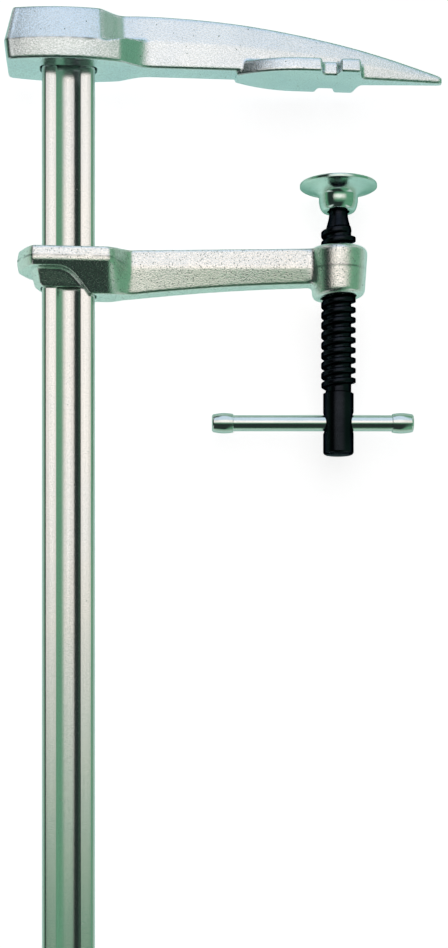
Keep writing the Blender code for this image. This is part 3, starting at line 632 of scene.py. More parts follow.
BLACK = Finish(
    name="black_oxide_screw",
    slot=Slot.BLACK,
    light=(0.019, 0.022, 0.029),
    shade=(0.006, 0.007, 0.009),
    patch=(0.026, 0.030, 0.038),
    edge_tint=(0.10, 0.12, 0.16),
    smoothest=0.20,
    roughest=0.36,
    grain=1700.0,
    grain_share=0.45,
    patch_scale=70.0,
    pit_spacing=380.0,
    pit_size=0.12,
    pit_rarity=0.64,
    bump=0.35,
    stretch=(50.0, 900.0, 50.0),
    streak_share=0.15,
)


class Workshop:
    """Holds the materials and hands each finished piece over to the frame."""

    def __init__(self) -> None:
        """Builds the shared effects and the finishes' materials."""
        effects = Effects()
        finishes = (FORGED, FORGED_COOL, ROLLED, BRIGHT, BRIGHT_GREEN, BLACK)
        self.materials = {finish.name: finish.material(effects) for finish in finishes}

    def hand_over(self, piece: Solid, node: str, body: Body, finish: Finish) -> None:
        """Dresses a piece and puts it in a node's place.

        Args:
            piece: the piece.
            node: the node that it stands for.
            body: the body that it rides on.
            finish: its finish.
        """
        piece.data.materials.clear()
        piece.data.materials.append(self.materials[finish.name])
        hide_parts(node)
        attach(piece, body.value)
        log.info("%s: %d faces, in place of %s", piece.name, len(piece.data.polygons), node)


# The clamp


@dataclass
class Assembly:
    """A part of the clamp, which builds its own pieces, and the sizes that several parts share."""

    body: Body
    finish: Finish
    throat: float = 139.75 * MM
    rest_gap: float = 58.6 * MM
    screw_out: float = 37.3 * MM
    rail_width: float = 30.0 * MM
    rail_depth: float = 13.5 * MM
    rail_corner_width: float = 2.4 * MM
    rail_corner_tilt: float = 26.0 * DEG
    rail_corner_steps: int = 10
    neck_radius: float = 5.4 * MM
    ball_radius: float = 7.2 * MM
    ball_depth: float = 9.0 * MM
    thread_start: float = 23.1 * MM
    thread_length: float = 96.6 * MM
    shank_length: float = 35.0 * MM
    shank_top: float = 1.0 * MM
    hole_height: float = 18.2 * MM
    bar_radius: float = 4.55 * MM
    bar_turn: float = -4.5 * DEG
    clearance: float = 0.3 * MM
    slide_clearance: float = 0.5 * MM
    over: float = 10.0 * MM

    @property
    def rail_x(self) -> float:
        """The rail's axis."""
        return -(self.throat + self.rail_width / 2)

    @property
    def plate_face(self) -> float:
        """The height of the pressure plate's face."""
        return -self.rest_gap

    @property
    def boss_top(self) -> float:
        """The height of the sliding arm's boss."""
        return -(self.rest_gap + self.screw_out)

    @property
    def thread_top(self) -> float:
        """Height of the first thread."""
        return self.plate_face - self.thread_start

    @property
    def thread_bottom(self) -> float:
        """Height of the last thread."""
        return self.thread_top - self.thread_length

    @property
    def shank_end(self) -> float:
        """Height of the shank's lower end."""
        return self.thread_bottom - self.shank_top - self.shank_length

    @property
    def hole_y(self) -> float:
        """Height of the cross hole."""
        return self.shank_end + self.hole_height

    @property
    def bar_way(self) -> Vector:
        """The direction of the T-bar, from its left end to its right end."""
        return Vector((math.cos(self.bar_turn), 0, -math.sin(self.bar_turn)))

    def rail_corners(self, gap: float) -> list[list[Point]]:
        """The four round corners of the rail's section.

        Args:
            gap: how far they are moved out.

        Returns:
            The points of each corner, in order round the section.
        """
        radius = self.rail_corner_width / (1 - math.sin(self.rail_corner_tilt))
        centre_u = self.rail_width / 2 - radius
        centre_v = self.rail_depth / 2 - radius * math.cos(self.rail_corner_tilt)
        top = math.asin((self.rail_depth / 2 + gap - centre_v) / (radius + gap))
        corner = arc((centre_u, centre_v), radius + gap, 0, top, self.rail_corner_steps)
        half = corner + [(-u, v) for u, v in reversed(corner)]
        half += [(-u, -v) for u, v in half]
        return [half[k * len(corner) : (k + 1) * len(corner)] for k in range(4)]

    def rail_hole(self, name: str, gap: float, low: float, high: float) -> Solid:
        """A cutter for a hole that the rail passes through with a gap, from a low to a high place."""
        outline = [point for corner in self.rail_corners(gap) for point in corner]
        return prism(name, outline, (low, high), lambda u, v, y: (self.rail_x + u, y, v))

    def near_rail(self, points: np.ndarray, gap: float) -> np.ndarray:
        """Which points lie within a gap of the rail's sides, or inside them."""
        across = np.abs(points[:, 0] - self.rail_x) < self.rail_width / 2 + gap
        return across & (np.abs(points[:, 2]) < self.rail_depth / 2 + gap)

    def pieces(self) -> dict[str, Solid]:
        """The finished meshes, by the node that each one replaces."""
        raise NotImplementedError

    def dress(self, workshop: Workshop) -> None:
        """Builds the pieces and hands each one over."""
        for node, piece in self.pieces().items():
            workshop.hand_over(piece, node, self.body, self.finish)


@dataclass
class Rail(Assembly):
    """The rolled rail with its round-bottomed grooves."""

    groove_width: float = 13.7 * MM
    groove_depth: float = 2.6 * MM
    groove_lip: float = 0.35 * MM
    groove_steps: int = 30
    chamfer: float = 0.8 * MM
    station: float = 9.0 * MM

    def outline(self, inset: float) -> list[Point]:
        """The section, moved in for the chamfer at the ends.

        Args:
            inset: how far it is moved in.

        Returns:
            The closed outline.
        """
        half_groove = self.groove_width / 2 + inset
        land = self.rail_depth / 2 - inset
        radius = sagitta_radius(half_groove, self.groove_depth)
        reach = math.asin(half_groove / radius) - self.groove_lip / radius
        centre = (0, land - self.groove_depth + radius)
        bottom = arc(centre, radius, reach - QUARTER, -reach - QUARTER, self.groove_steps)
        edge = half_groove + self.groove_lip
        groove = [(edge, land), *bottom, (-edge, land)]
        first, second, third, fourth = self.rail_corners(-inset)
        return first + groove + second + third + [(-u, -v) for u, v in groove] + fourth

    def pieces(self) -> dict[str, Solid]:
        """The rail, from its chamfered top to its chamfered lower end.

        Returns:
            The piece, by the node that it replaces.
        """
        low, high = (corner.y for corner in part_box("rail"))
        steps = round((high - low) / self.station)
        between = span(low + self.chamfer, high - self.chamfer, steps)
        heights = [(low, self.chamfer), *((y, 0.0) for y in between), (high, self.chamfer)]
        loops = [
            [Vector((self.rail_x + u, y, v)) for u, v in self.outline(inset)] for y, inset in heights
        ]
        return {"rail": loft("rail_bar", loops)}


@dataclass
class Forging(Assembly):
    """A drop forging's skin: soft edges, a trimmed flash line and slightly uneven faces."""

    voxel: float = 0.56 * MM
    passes: int = 5
    softer_passes: int = 26
    flash_height: float = 0.14 * MM
    flash_half_width: float = 0.75 * MM
    flash_wall: float = 0.6
    flash_breaks: float = 150.0
    flash_middle: float = 0.5
    flash_swing: float = 1.1
    unevenness: float = 0.07 * MM
    uneven_scale: float = 75.0

    def flash_place(self, x: float) -> float:
        """Height of the die's parting line at x."""
        raise NotImplementedError

    def flash_left(self, x: float) -> float:
        """How much of the flash is left at x, from 0 to 1."""
        raise NotImplementedError

    def keeps(self, points: np.ndarray) -> np.ndarray:
        """Which points lie on machined faces, where the forging's unevenness stops."""
        raise NotImplementedError

    def softness(self, points: np.ndarray) -> np.ndarray:
        """How much further each point is softened, from 0 to 1."""
        return np.zeros(len(points))

    def skin(self, solid: Solid, tools: Sequence[Solid], node: str) -> Solid:
        """Gives a solid its forged skin.

        Args:
            solid: the solid with its cuts as modifiers.
            tools: the cutters, which are removed.
            node: the node whose box the forging stays in.

        Returns:
            The forging.
        """
        remesh = solid.modifiers.new("skin", "REMESH")
        remesh.mode = "VOXEL"
        remesh.voxel_size = self.voxel
        thing = baked(solid, tools)
        mesh = thing.data
        points = values_of(mesh.vertices, "co", 3)
        edges = values_of(mesh.edges, "vertices", 2, np.int64)
        points = self.relaxed(points, edges, np.ones(len(points)), self.passes)
        points = self.relaxed(points, edges, self.softness(points), self.softer_passes)
        mesh.vertices.foreach_set("co", points.ravel())
        mesh.update()
        normals = values_of(mesh.vertices, "normal", 3)
        raised = self.flash(points, normals)
        points += normals * (raised * self.flash_height + self.uneven(points))[:, None]
        points = np.clip(points, *(np.array(corner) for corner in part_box(node)))
        mesh.vertices.foreach_set("co", points.ravel())
        # The flash line is also kept as an attribute, which the materials use to paint a dark line along it,
        # partly painted shade.
        mesh.attributes.new(FLASH_LINE, "FLOAT", "POINT").data.foreach_set("value", raised)
        mesh.update()
        mesh.shade_smooth()
        return thing

    @staticmethod
    def relaxed(points: np.ndarray, edges: np.ndarray, weights: np.ndarray, passes: int) -> np.ndarray:
        """Moves points towards the middle of their neighbours.

        Args:
            points: the points.
            edges: pairs of neighbours.
            weights: how much each point takes part.
            passes: how many times.

        Returns:
            The moved points.
        """
        count = len(points)
        here, there = np.concatenate((edges, edges[:, ::-1])).T
        number = np.bincount(here, minlength=count)[:, None]
        share = 0.5 * weights[:, None]
        for _ in range(passes):
            totals = [np.bincount(here, points[there, k], minlength=count) for k in range(3)]
            points = points + share * (np.stack(totals, axis=1) / number - points)
        return points

    def flash(self, points: np.ndarray, normals: np.ndarray) -> np.ndarray:
        """The trimmed flash line on walls that stand across the parting line.

        Args:
            points: the points.
            normals: their normals.

        Returns:
            How much each point belongs to it, from 0 to 1.
        """
        raised = np.zeros(len(points))
        for i, (x, y, z) in enumerate(points):
            away = abs(y - self.flash_place(x)) / self.flash_half_width
            if away < 1 and abs(normals[i, 1]) < self.flash_wall:
                wave = noise.noise(Vector((x, y, z)) * self.flash_breaks)
                broken = held(self.flash_middle + self.flash_swing * wave)
                raised[i] = (1 - away) * broken * self.flash_left(x)
        raised[self.keeps(points)] = 0
        return raised

    def uneven(self, points: np.ndarray) -> np.ndarray:
        """The slight waves of the forged faces.

        Args:
            points: the points.

        Returns:
            How far each point moves out, which is never above 0.
        """
        waves = np.array([noise.noise(Vector(p) * self.uneven_scale) for p in points])
        waves = (waves - 1) * self.unevenness / 2
        waves[self.keeps(points)] = 0
        return waves


@dataclass
class FixedArm(Forging):
    """The fixed arm: a head on the rail's top, a long beam, a notched jaw pad and a pointed tip."""

    head_height: float = 29.6 * MM
    underside_rise: float = 2.2 * MM
    parting_shares: Point = (0.37, 0.5)
    head_half_depth: float = 21.0 * MM
    barrel_radius: float = 120.0 * MM
    head_back: float = 35.9 * MM
    end_corner: float = 4.0 * MM
    lower_shoulder: float = 28.3 * MM
    lower_neck: float = 19.0 * MM
    upper_shoulder: float = 17.6 * MM
    upper_neck: float = 15.4 * MM
    head_steps: int = 20
    neck_steps: int = 40
    beam_steps: int = 60
    side_draft: float = 7.0 * DEG
    beam_draft: float = 2.4 * DEG
    lower_end_draft: float = 8.0 * DEG
    upper_end_draft: float = 14.0 * DEG
    edge: float = 1.2 * MM
    edge_levels: tuple[Point, ...] = ((1.0, 0.0), (0.3, 0.3), (0.0, 1.0))
    rounding_limit: Point = (0.3, 0.2 * MM)
    move_limit: Point = (0.45, 0.3 * MM)
    thin_edge: float = 0.2
    beam_half: float = 8.6 * MM
    beam_jaw_half: float = 5.9 * MM
    tip_half: float = 2.3 * MM
    tip_reach: float = 60.3 * MM
    tip_thickness: float = 4.0 * MM
    tip_relief: float = 0.25 * MM
    tip_turn: float = 0.15 * QUARTER
    relief_run: Point = (0.2, 0.65)
    hole_mouth: float = 0.9 * MM
    hole_mouth_depth: float = 2.5 * MM
    pad_half: float = 17.4 * MM
    pad_height: float = 7.9 * MM
    pad_start: float = 59.5 * MM
    pad_crown: float = 22.0 * MM
    pad_start_half: float = 6.0 * MM
    pad_end: float = 13.5 * MM
    pad_end_half: float = 5.0 * MM
    pad_edge: float = 0.7 * MM
    pad_inset: float = 1.0 * MM
    pad_steps: int = 28
    notch_half: float = 11.0 * MM
    notch_mouth: float = 11.1 * MM
    notch_floor: float = 7.8 * MM
    notch_place: float = -6.1 * MM
    lug_end: float = 10.6 * MM
    lug_corner: Point = (0.6, 0.7)

    @property
    def head_top(self) -> float:
        """Height of the head's back."""
        return self.underside_rise + self.head_height

    @property
    def upper_start(self) -> float:
        """Where the head's upper half starts to narrow."""
        return self.rail_x + self.upper_shoulder

    @property
    def lower_middle(self) -> float:
        """The middle of the lower half's neck."""
        return self.rail_x + self.lower_shoulder + self.lower_neck / 2

    def head_half(self, x: float) -> float:
        """Half depth of the barrel-shaped head at the parting line."""
        away = x - self.rail_x
        return self.head_half_depth - self.barrel_radius + math.sqrt(self.barrel_radius**2 - away**2)

    def beam_half_width(self, x: float) -> float:
        """Half width of the beam at the parting line."""
        widths = (self.beam_half, self.beam_jaw_half, self.tip_half)
        return float(np.interp(x, (-self.pad_start, self.pad_end, self.tip_reach), widths))

    def plan(self, shoulder: float, neck: float, end_move: float = 0.0) -> list[Point]:
        """The arm's plan, from the head's back to the tip.

        Args:
            shoulder: where the head starts to narrow, from the rail's axis.
            neck: the length over which it narrows.
            end_move: how far the head's back is moved in.

        Returns:
            The closed outline.
        """
        back = self.rail_x - self.head_back + end_move
        corner_x = back + self.end_corner
        side = self.head_half(corner_x) - self.end_corner
        neck_end = self.rail_x + self.lower_shoulder + self.lower_neck
        tip_start = self.tip_reach - self.tip_half
        half = [(back, side / 2), *arc((corner_x, side), self.end_corner, HALF, QUARTER, 10)]
        half += [(x, self.head_half(x)) for x in span(corner_x, self.upper_start, self.head_steps)[1:]]
        for x in span(self.upper_start, neck_end, self.neck_steps)[1:]:
            t = ease((x - self.rail_x - shoulder) / neck)
            half.append((x, blend(self.head_half(x), self.beam_half, t)))
        half += [(x, self.beam_half_width(x)) for x in span(neck_end, tip_start, self.beam_steps)[1:]]
        half += arc((tip_start, 0), self.beam_half_width(tip_start), QUARTER, self.tip_turn, 5)[1:]
        return mirrored(half)

    def back_height(self, x: float) -> float:
        """Height of the arm's back: flat over the head, then one long arc down to the tip.

        Args:
            x: the place along the arm.

        Returns:
            The height.
        """
        if x <= self.lower_middle:
            return self.head_top
        fall = self.head_top - self.tip_relief - self.tip_thickness
        radius = sagitta_radius(self.tip_reach - self.lower_middle, fall)
        run = min(x, self.tip_reach) - self.lower_middle
        return self.head_top - radius + math.sqrt(radius**2 - run**2)

    def underside(self, x: float) -> float:
        """Height of the arm's underside, which steps down under the pad to the tip."""
        start, end = (share * self.pad_end for share in self.relief_run)
        return blend(self.underside_rise, self.tip_relief, held((x - start) / (end - start)))

    def flash_place(self, x: float) -> float:
        """Height of the parting line, which climbs from the head to the middle of the beam."""
        climb = ease((x - self.upper_start) / (self.lower_middle - self.upper_start))
        return blend(self.underside(x), self.back_height(x), blend(*self.parting_shares, climb))

    def flash_left(self, x: float) -> float:
        """The flash is ground off from the head's end to the tip."""
        return 1 - ease((x - self.rail_x - self.upper_shoulder) / self.upper_neck)

    def keeps(self, points: np.ndarray) -> np.ndarray:
        """The walls of the rail's hole, and the tip."""
        at_tip = points[:, 0] > self.tip_reach - 4 * self.tip_half
        return self.near_rail(points, self.hole_mouth) | at_tip

    def draft_at(self, x: float) -> float:
        """Slope of the sides at x: the beam's is less than the head's."""
        run = self.lower_shoulder + self.lower_neck - self.upper_shoulder
        return math.tan(blend(self.side_draft, self.beam_draft, ease((x - self.upper_start) / run)))

    def level(self, outline: list[Point], drop: AlongX, inset: float, height: AlongX) -> list[Vector]:
        """One level of the drafted form.

        Args:
            outline: the plan at the parting line.
            drop: the distance from the parting line at x, which the draft works on.
            inset: the share of the edge radius that is taken off as well.
            height: the level's height at x.

        Returns:
            The level's points.
        """
        points = []
        for (x, z), way in zip(outline, ways_in(outline)):
            rounding_most, move_most = (
                share * abs(z) + start for share, start in (self.rounding_limit, self.move_limit)
            )
            rounding = inset * min(self.edge, rounding_most)
            across = drop(x) * self.draft_at(x)
            move_x = (across if x > self.rail_x else 0.0) + rounding
            move_z = min(across + rounding, move_most)
            points.append(Vector((x + way.x * move_x, height(x), z + way.y * move_z)))
        return points

    def levels(self) -> list[list[Vector]]:
        """The levels of the drafted form, whose two halves have plans of their own.

        Returns:
            The levels from the underside to the back.
        """

        def down(x: float) -> float:
            """Distance from the parting line to the underside."""
            return self.flash_place(x) - self.underside(x)

        def up(x: float) -> float:
            """Distance from the parting line to the back."""
            return self.back_height(x) - self.flash_place(x)

        def top_edge(x: float) -> float:
            """Height of the back's rounded edge, less where the tip is thin."""
            return min(self.edge, self.thin_edge * (self.back_height(x) - self.underside(x)))

        lower, upper = (self.lower_shoulder, self.lower_neck), (self.upper_shoulder, self.upper_neck)
        low = self.plan(*lower, down(self.rail_x) * math.tan(self.lower_end_draft))
        top = self.plan(*upper, up(self.rail_x) * math.tan(self.upper_end_draft))
        made = []
        for inset, rise in self.edge_levels:
            made.append(self.level(low, down, inset, lambda x, r=rise: self.underside(x) + r * self.edge))
        for shape in (lower, upper):
            made.append(self.level(self.plan(*shape), lambda x: 0.0, 0.0, self.flash_place))
        for inset, fall in reversed(self.edge_levels):
            made.append(self.level(top, up, inset, lambda x, f=fall: self.back_height(x) - f * top_edge(x)))
        return made

    def pad(self) -> Solid:
        """The jaw pad: a lens with a notch in each side and a lug beyond it.

        Returns:
            The pad, which reaches up into the arm.
        """
        run = self.pad_start - self.pad_crown
        radius = sagitta_radius(run, self.pad_half - self.pad_start_half)
        centre = (-self.pad_crown, self.pad_half - radius)
        half = arc(centre, radius, QUARTER + math.asin(run / radius), QUARTER, self.pad_steps)
        mouth, floor = self.notch_mouth / 2, self.notch_floor / 2
        corner_x, corner_z = self.lug_corner
        half += [
            (self.notch_place - mouth, self.pad_half),
            (self.notch_place - floor, self.notch_half),
            (self.notch_place + floor, self.notch_half),
            (self.notch_place + mouth, self.pad_half),
            (self.lug_end, self.pad_half - self.clearance),
            (blend(self.lug_end, self.pad_end, corner_x), blend(self.pad_half, self.pad_end_half, corner_z)),
            (self.pad_end, self.pad_end_half),
        ]
        outline = mirrored(half)
        heights = (
            (self.pad_edge, 0.0),
            (0.0, self.pad_edge),
            (0.3 * self.pad_inset, self.pad_height - self.pad_edge),
            (self.pad_inset, self.pad_height),
        )
        loops = [
            [
                Vector((x + way.x * inset, height, z + way.y * min(inset, abs(z))))
                for (x, z), way in zip(outline, ways_in(outline))
            ]
            for inset, height in heights
        ]
        return loft("jaw_pad", loops, halves=True)

    def pieces(self) -> dict[str, Solid]:
        """The arm's forging, with the rail's hole pierced through its head.

        Returns:
            The piece, by the node that it replaces.
        """
        arm = loft("fixed_arm_forging", self.levels(), halves=True)
        low, high = self.underside_rise - self.over, self.head_top + self.over
        mouth_top = self.underside_rise + self.hole_mouth_depth
        pad = self.pad()
        hole = self.rail_hole("rail_hole", self.clearance, low, high)
        mouth = self.rail_hole("hole_mouth", self.hole_mouth, low, mouth_top)
        cut(arm, [pad], "UNION")
        cut(arm, [hole, mouth])
        return {"fixed_arm": self.skin(arm, (pad, hole, mouth), "fixed_arm")}


@dataclass
class SlidingArm(Forging):
    """The sliding arm: an eye with scooped cheeks on the rail, a beam, and the boss that holds the screw.

    Heights are measured down from the top of the boss.
    """

    eye_top: float = 6.2 * MM
    eye_parting: float = 12.0 * MM
    eye_front_low: float = 14.6 * MM
    band_low: float = 17.4 * MM
    eye_low: float = 31.1 * MM
    eye_half: float = 20.0 * MM
    eye_top_in: float = 0.5 * MM
    eye_front_in: float = 0.1 * MM
    eye_low_half: float = 10.0 * MM
    eye_back: float = 29.3 * MM
    back_length: float = 9.5 * MM
    back_half: float = 3.5 * MM
    back_power: float = 1.4
    back_steps: int = 14
    flat_end: float = 22.0 * MM
    flat_last: float = 0.2 * MM
    neck: float = 14.5 * MM
    beam_top: Point = (4.9 * MM, 1.4 * MM)
    beam_parting: Point = (14.8 * MM, 12.8 * MM)
    beam_low: Point = (30.2 * MM, 21.9 * MM)
    beam_arch: float = 1.1 * MM
    beam_halves: tuple[float, float, float] = (7.65 * MM, 8.5 * MM, 6.6 * MM)
    beam_taper: float = 0.86
    beam_crown: float = 0.15
    beam_reach: float = 0.55
    section_edge: float = 0.8 * MM
    pocket_half: float = 12.5 * MM
    pocket_slope: float = 0.36
    pocket_draft: float = 0.12
    pocket_step: float = 0.15 * MM
    pocket_start: float = 7.5 * MM
    pocket_run: float = 19.5 * MM
    rim_handles: tuple[float, float, float] = (0.45, 0.6, 0.4)
    rim_steps: int = 24
    inner_low: float = 27.0 * MM
    inner_back: float = 21.6 * MM
    inner_lean: float = 2.0 * MM
    inner_corner: float = 3.5 * MM
    inner_slant: float = 0.34
    end_draft: float = 12.0 * DEG
    boss_radius: float = 16.7 * MM
    boss_height: float = 28.2 * MM
    boss_edge: float = 3.2 * MM
    boss_slope: float = 0.08
    boss_taper: float = 1.4 * MM
    boss_fillet: float = 4.0 * MM
    boss_sides: int = 96
    boss_steps: int = 8
    bore_radius: float = 10.3 * MM
    bore_wall: float = 0.5 * MM
    slot_wall: float = 2.0 * MM
    soft_ring: float = 1.0 * MM
    soft_side: float = 0.2

    @property
    def neck_start(self) -> float:
        """Where the eye starts to narrow to the beam."""
        return self.rail_x + self.flat_end

    @property
    def neck_end(self) -> float:
        """Where the beam starts."""
        return self.neck_start + self.neck

    def flash_place(self, x: float) -> float:
        """Height of the parting line along the eye and the beam."""
        beam = blend(*self.beam_parting, held((x - self.neck_end) / (-self.boss_radius - self.neck_end)))
        return self.boss_top - blend(self.eye_parting, beam, ease((x - self.neck_start) / self.neck))

    def flash_left(self, x: float) -> float:
        """The flash is ground off along the beam, between the eye and the boss."""
        from_eye = ease((x - self.rail_x - self.flat_end) / self.neck)
        return 1 - from_eye * (1 - ease((x + self.boss_radius) / self.boss_fillet))

    def softness(self, points: np.ndarray) -> np.ndarray:
        """The fillet between the beam and the boss.

        Args:
            points: the points.

        Returns:
            How much further each is softened.
        """
        away = np.hypot(points[:, 0], points[:, 2]) - self.boss_radius
        near = np.clip(1 - np.abs(away - self.soft_ring) / self.boss_fillet, 0, 1)
        on_side = points[:, 0] < -self.soft_side * self.boss_radius
        deep = self.boss_top - points[:, 1]
        return near * on_side * ((deep > self.boss_edge / 2) & (deep < self.boss_height))

    def keeps(self, points: np.ndarray) -> np.ndarray:
        """The walls of the rail's slot and of the screw's bore."""
        in_bore = np.hypot(points[:, 0], points[:, 2]) < self.bore_radius + self.bore_wall
        return self.near_rail(points, self.slot_wall) | in_bore

    def section(self, x: float) -> list[Point]:
        """Half section at x.

        Args:
            x: the place along the arm.

        Returns:
            (height, half width) pairs from its top to its bottom.
        """
        eye = [
            (self.eye_top, self.eye_half - self.eye_top_in),
            (self.eye_parting, self.eye_half),
            (self.eye_front_low, self.eye_half - self.eye_front_in),
            (self.eye_low, self.eye_low_half),
        ]
        if x < self.neck_start:
            share = min(1.0, (x - self.rail_x + self.eye_back) / self.back_length)
            half = blend(self.eye_half, self.back_half, (1 - share) ** self.back_power)
            return [(y, z * half / self.eye_half) for y, z in eye]
        t = held((x - self.neck_end) / (-self.boss_radius - self.neck_end))
        width = blend(1.0, self.beam_taper, t)
        low = blend(*self.beam_low, t) - 4 * self.beam_arch * t * (1 - t)
        parting = blend(*self.beam_parting, t)
        top_half, parting_half, low_half = self.beam_halves
        crown = self.beam_crown
        beam = [
            (blend(*self.beam_top, t), width * top_half),
            (parting, width * parting_half),
            (blend(parting, low, crown), width * blend(parting_half, low_half, crown)),
            (low, width * low_half),
        ]
        if x < self.neck_end:
            share = 1 - ease((x - self.neck_start) / self.neck)
            return [(blend(b[0], e[0], share), blend(b[1], e[1], share)) for e, b in zip(eye, beam)]
        return [(y, self.filleted(x, z)) for y, z in beam]

    def filleted(self, x: float, z: float) -> float:
        """Half width of the beam, with the fillet that turns it tangent to the boss.

        Args:
            x: the place along the arm.
            z: the beam's own half width there.

        Returns:
            The half width.
        """
        both = self.boss_radius + self.boss_fillet
        start = -math.sqrt(both**2 - (z + self.boss_fillet) ** 2)
        end = start * self.boss_radius / both
        along = min(max(x, start), end) - start
        return z + self.boss_fillet - math.sqrt(self.boss_fillet**2 - along**2)

    def stations(self) -> list[float]:
        """Places along the arm where its section is drawn.

        Returns:
            The places, from the eye's back to inside the boss.
        """
        back = self.rail_x - self.eye_back
        fillet_start = -self.boss_radius - self.boss_fillet
        turns = [a * QUARTER / self.back_steps for a in range(self.back_steps)]
        return [
            *(back + self.back_length * (1 - math.cos(turn)) for turn in turns),
            back + self.back_length,
            self.neck_start - self.flat_last,
            *span(self.neck_start, self.neck_end, 20),
            *span(self.neck_end, fillet_start, 12)[1:],
            *span(fillet_start, -self.beam_reach * self.boss_radius, 24)[1:],
        ]

    def drafted(self) -> Solid:
        """The drafted body.

        Returns:
            The solid from the eye to the boss.
        """
        loops = []
        for x in self.stations():
            from_back = (x - self.rail_x + self.eye_back) / self.back_length
            lean = max(0.0, 1 - from_back) * math.tan(self.end_draft)
            outline = eased(mirrored(self.section(x)), self.section_edge)
            places = ((x + lean * abs(y - self.eye_parting), self.boss_top - y, z) for y, z in outline)
            loops.append([Vector(place) for place in places])
        return loft("sliding_arm_forging", loops)

    def rim(self) -> list[Point]:
        """The curved rim that falls across each cheek, and on below the arm.

        Returns:
            Its points in X and Y.
        """
        start = self.rail_x - self.pocket_start
        top, low = self.boss_top - self.band_low, self.boss_top - self.eye_low
        first, second, fall = self.rim_handles
        end = (start + self.pocket_run, low)
        handle = (start + second * self.pocket_run, blend(top, low, fall))
        curve = bezier(((start, top), (start + first * self.pocket_run, top), handle, end), self.rim_steps)
        share = self.over / (handle[1] - end[1])
        return curve + [(end[0] + share * (end[0] - handle[0]), low - self.over)]

    def cheek_cutters(self) -> list[Solid]:
        """What is taken out of the eye.

        Returns:
            What is left out behind and below the inner wall, and what is scooped out of each cheek.
        """
        rim = self.rim()
        reach = self.eye_half + self.over
        back = self.rail_x - self.eye_back - self.over
        scoop = [(back, rim[0][1]), *rim, (back, rim[-1][1])]

        def widening(u: float, v: float, level: float) -> tuple[float, float, float]:
            """Places a point of the scoop, which widens with its depth and leans in as it falls.

            Args:
                u: the point's place along the arm.
                v: its height.
                level: its level across the arm.

            Returns:
                The place.
            """
            fall = rim[0][1] - v if abs(level) < reach else 0.0
            depth = math.copysign(abs(level) - self.pocket_slope * fall, level)
            return u + self.pocket_step + self.pocket_draft * (abs(level) - self.pocket_half), v, depth

        def leaning(u: float, v: float, level: float) -> tuple[float, float, float]:
            """A point of the undercut, whose back wall is pointed."""
            behind = u < self.rail_x - self.rail_width / 2
            return u + self.inner_slant * abs(level) * behind, v, level

        low = self.boss_top - self.inner_low
        wall = self.rail_x - self.inner_back
        below = [point for point in rim if point[1] < low]
        above = rim[len(rim) - len(below) - 1]
        share = (above[1] - low) / (above[1] - below[0][1])
        corner = (wall + self.inner_lean + self.inner_corner, low + self.inner_corner)
        undercut = [(back, rim[0][1]), (wall, rim[0][1])]
        undercut += arc(corner, self.inner_corner, HALF, 3 * QUARTER, 10)
        undercut += [(blend(above[0], below[0][0], share), low), *below, (back, below[-1][1])]
        return [
            prism("undercut", undercut, (-reach, 0, reach), leaning),
            prism("scoop_front", scoop, (self.pocket_half, reach), widening),
            prism("scoop_rear", scoop, (-reach, -self.pocket_half), widening),
        ]

    def boss(self) -> Solid:
        """The boss: round edges, a slight taper and a sloping bottom.

        Returns:
            The solid.
        """
        edge = corner_round(self.boss_edge, self.boss_steps)
        rings = [(self.boss_radius - level, fall, 0.0) for fall, level in edge]
        rings += [
            (self.boss_radius - (self.boss_taper + inset), self.boss_height - rise, self.boss_slope)
            for inset, rise in edge
        ]
        loops = []
        for radius, height, slope in rings:
            points = arc((0, 0), radius, 0, ROUND, self.boss_sides)[:-1]
            loops.append([Vector((x, self.boss_top - height + slope * x, z)) for x, z in points])
        return loft("boss", loops)

    def pieces(self) -> dict[str, Solid]:
        """The arm's forging, with its slot, bore and scooped cheeks.

        Returns:
            The piece, by the node that it replaces.
        """
        arm = self.drafted()
        cheeks = self.cheek_cutters()
        boss = self.boss()
        low = self.boss_top - self.eye_low - self.over
        heights = (low, self.boss_top + self.over)
        slot = self.rail_hole("rail_slot", self.slide_clearance, *heights)
        around = arc((0, 0), self.bore_radius, 0, ROUND, self.boss_sides)[:-1]
        bore = prism("screw_bore", around, heights, lambda u, v, y: (u, y, v))
        cut(arm, cheeks)
        cut(arm, [boss], "UNION")
        cut(arm, [slot, bore])
        return {"sliding_arm": self.skin(arm, (*cheeks, boss, slot, bore), "sliding_arm")}


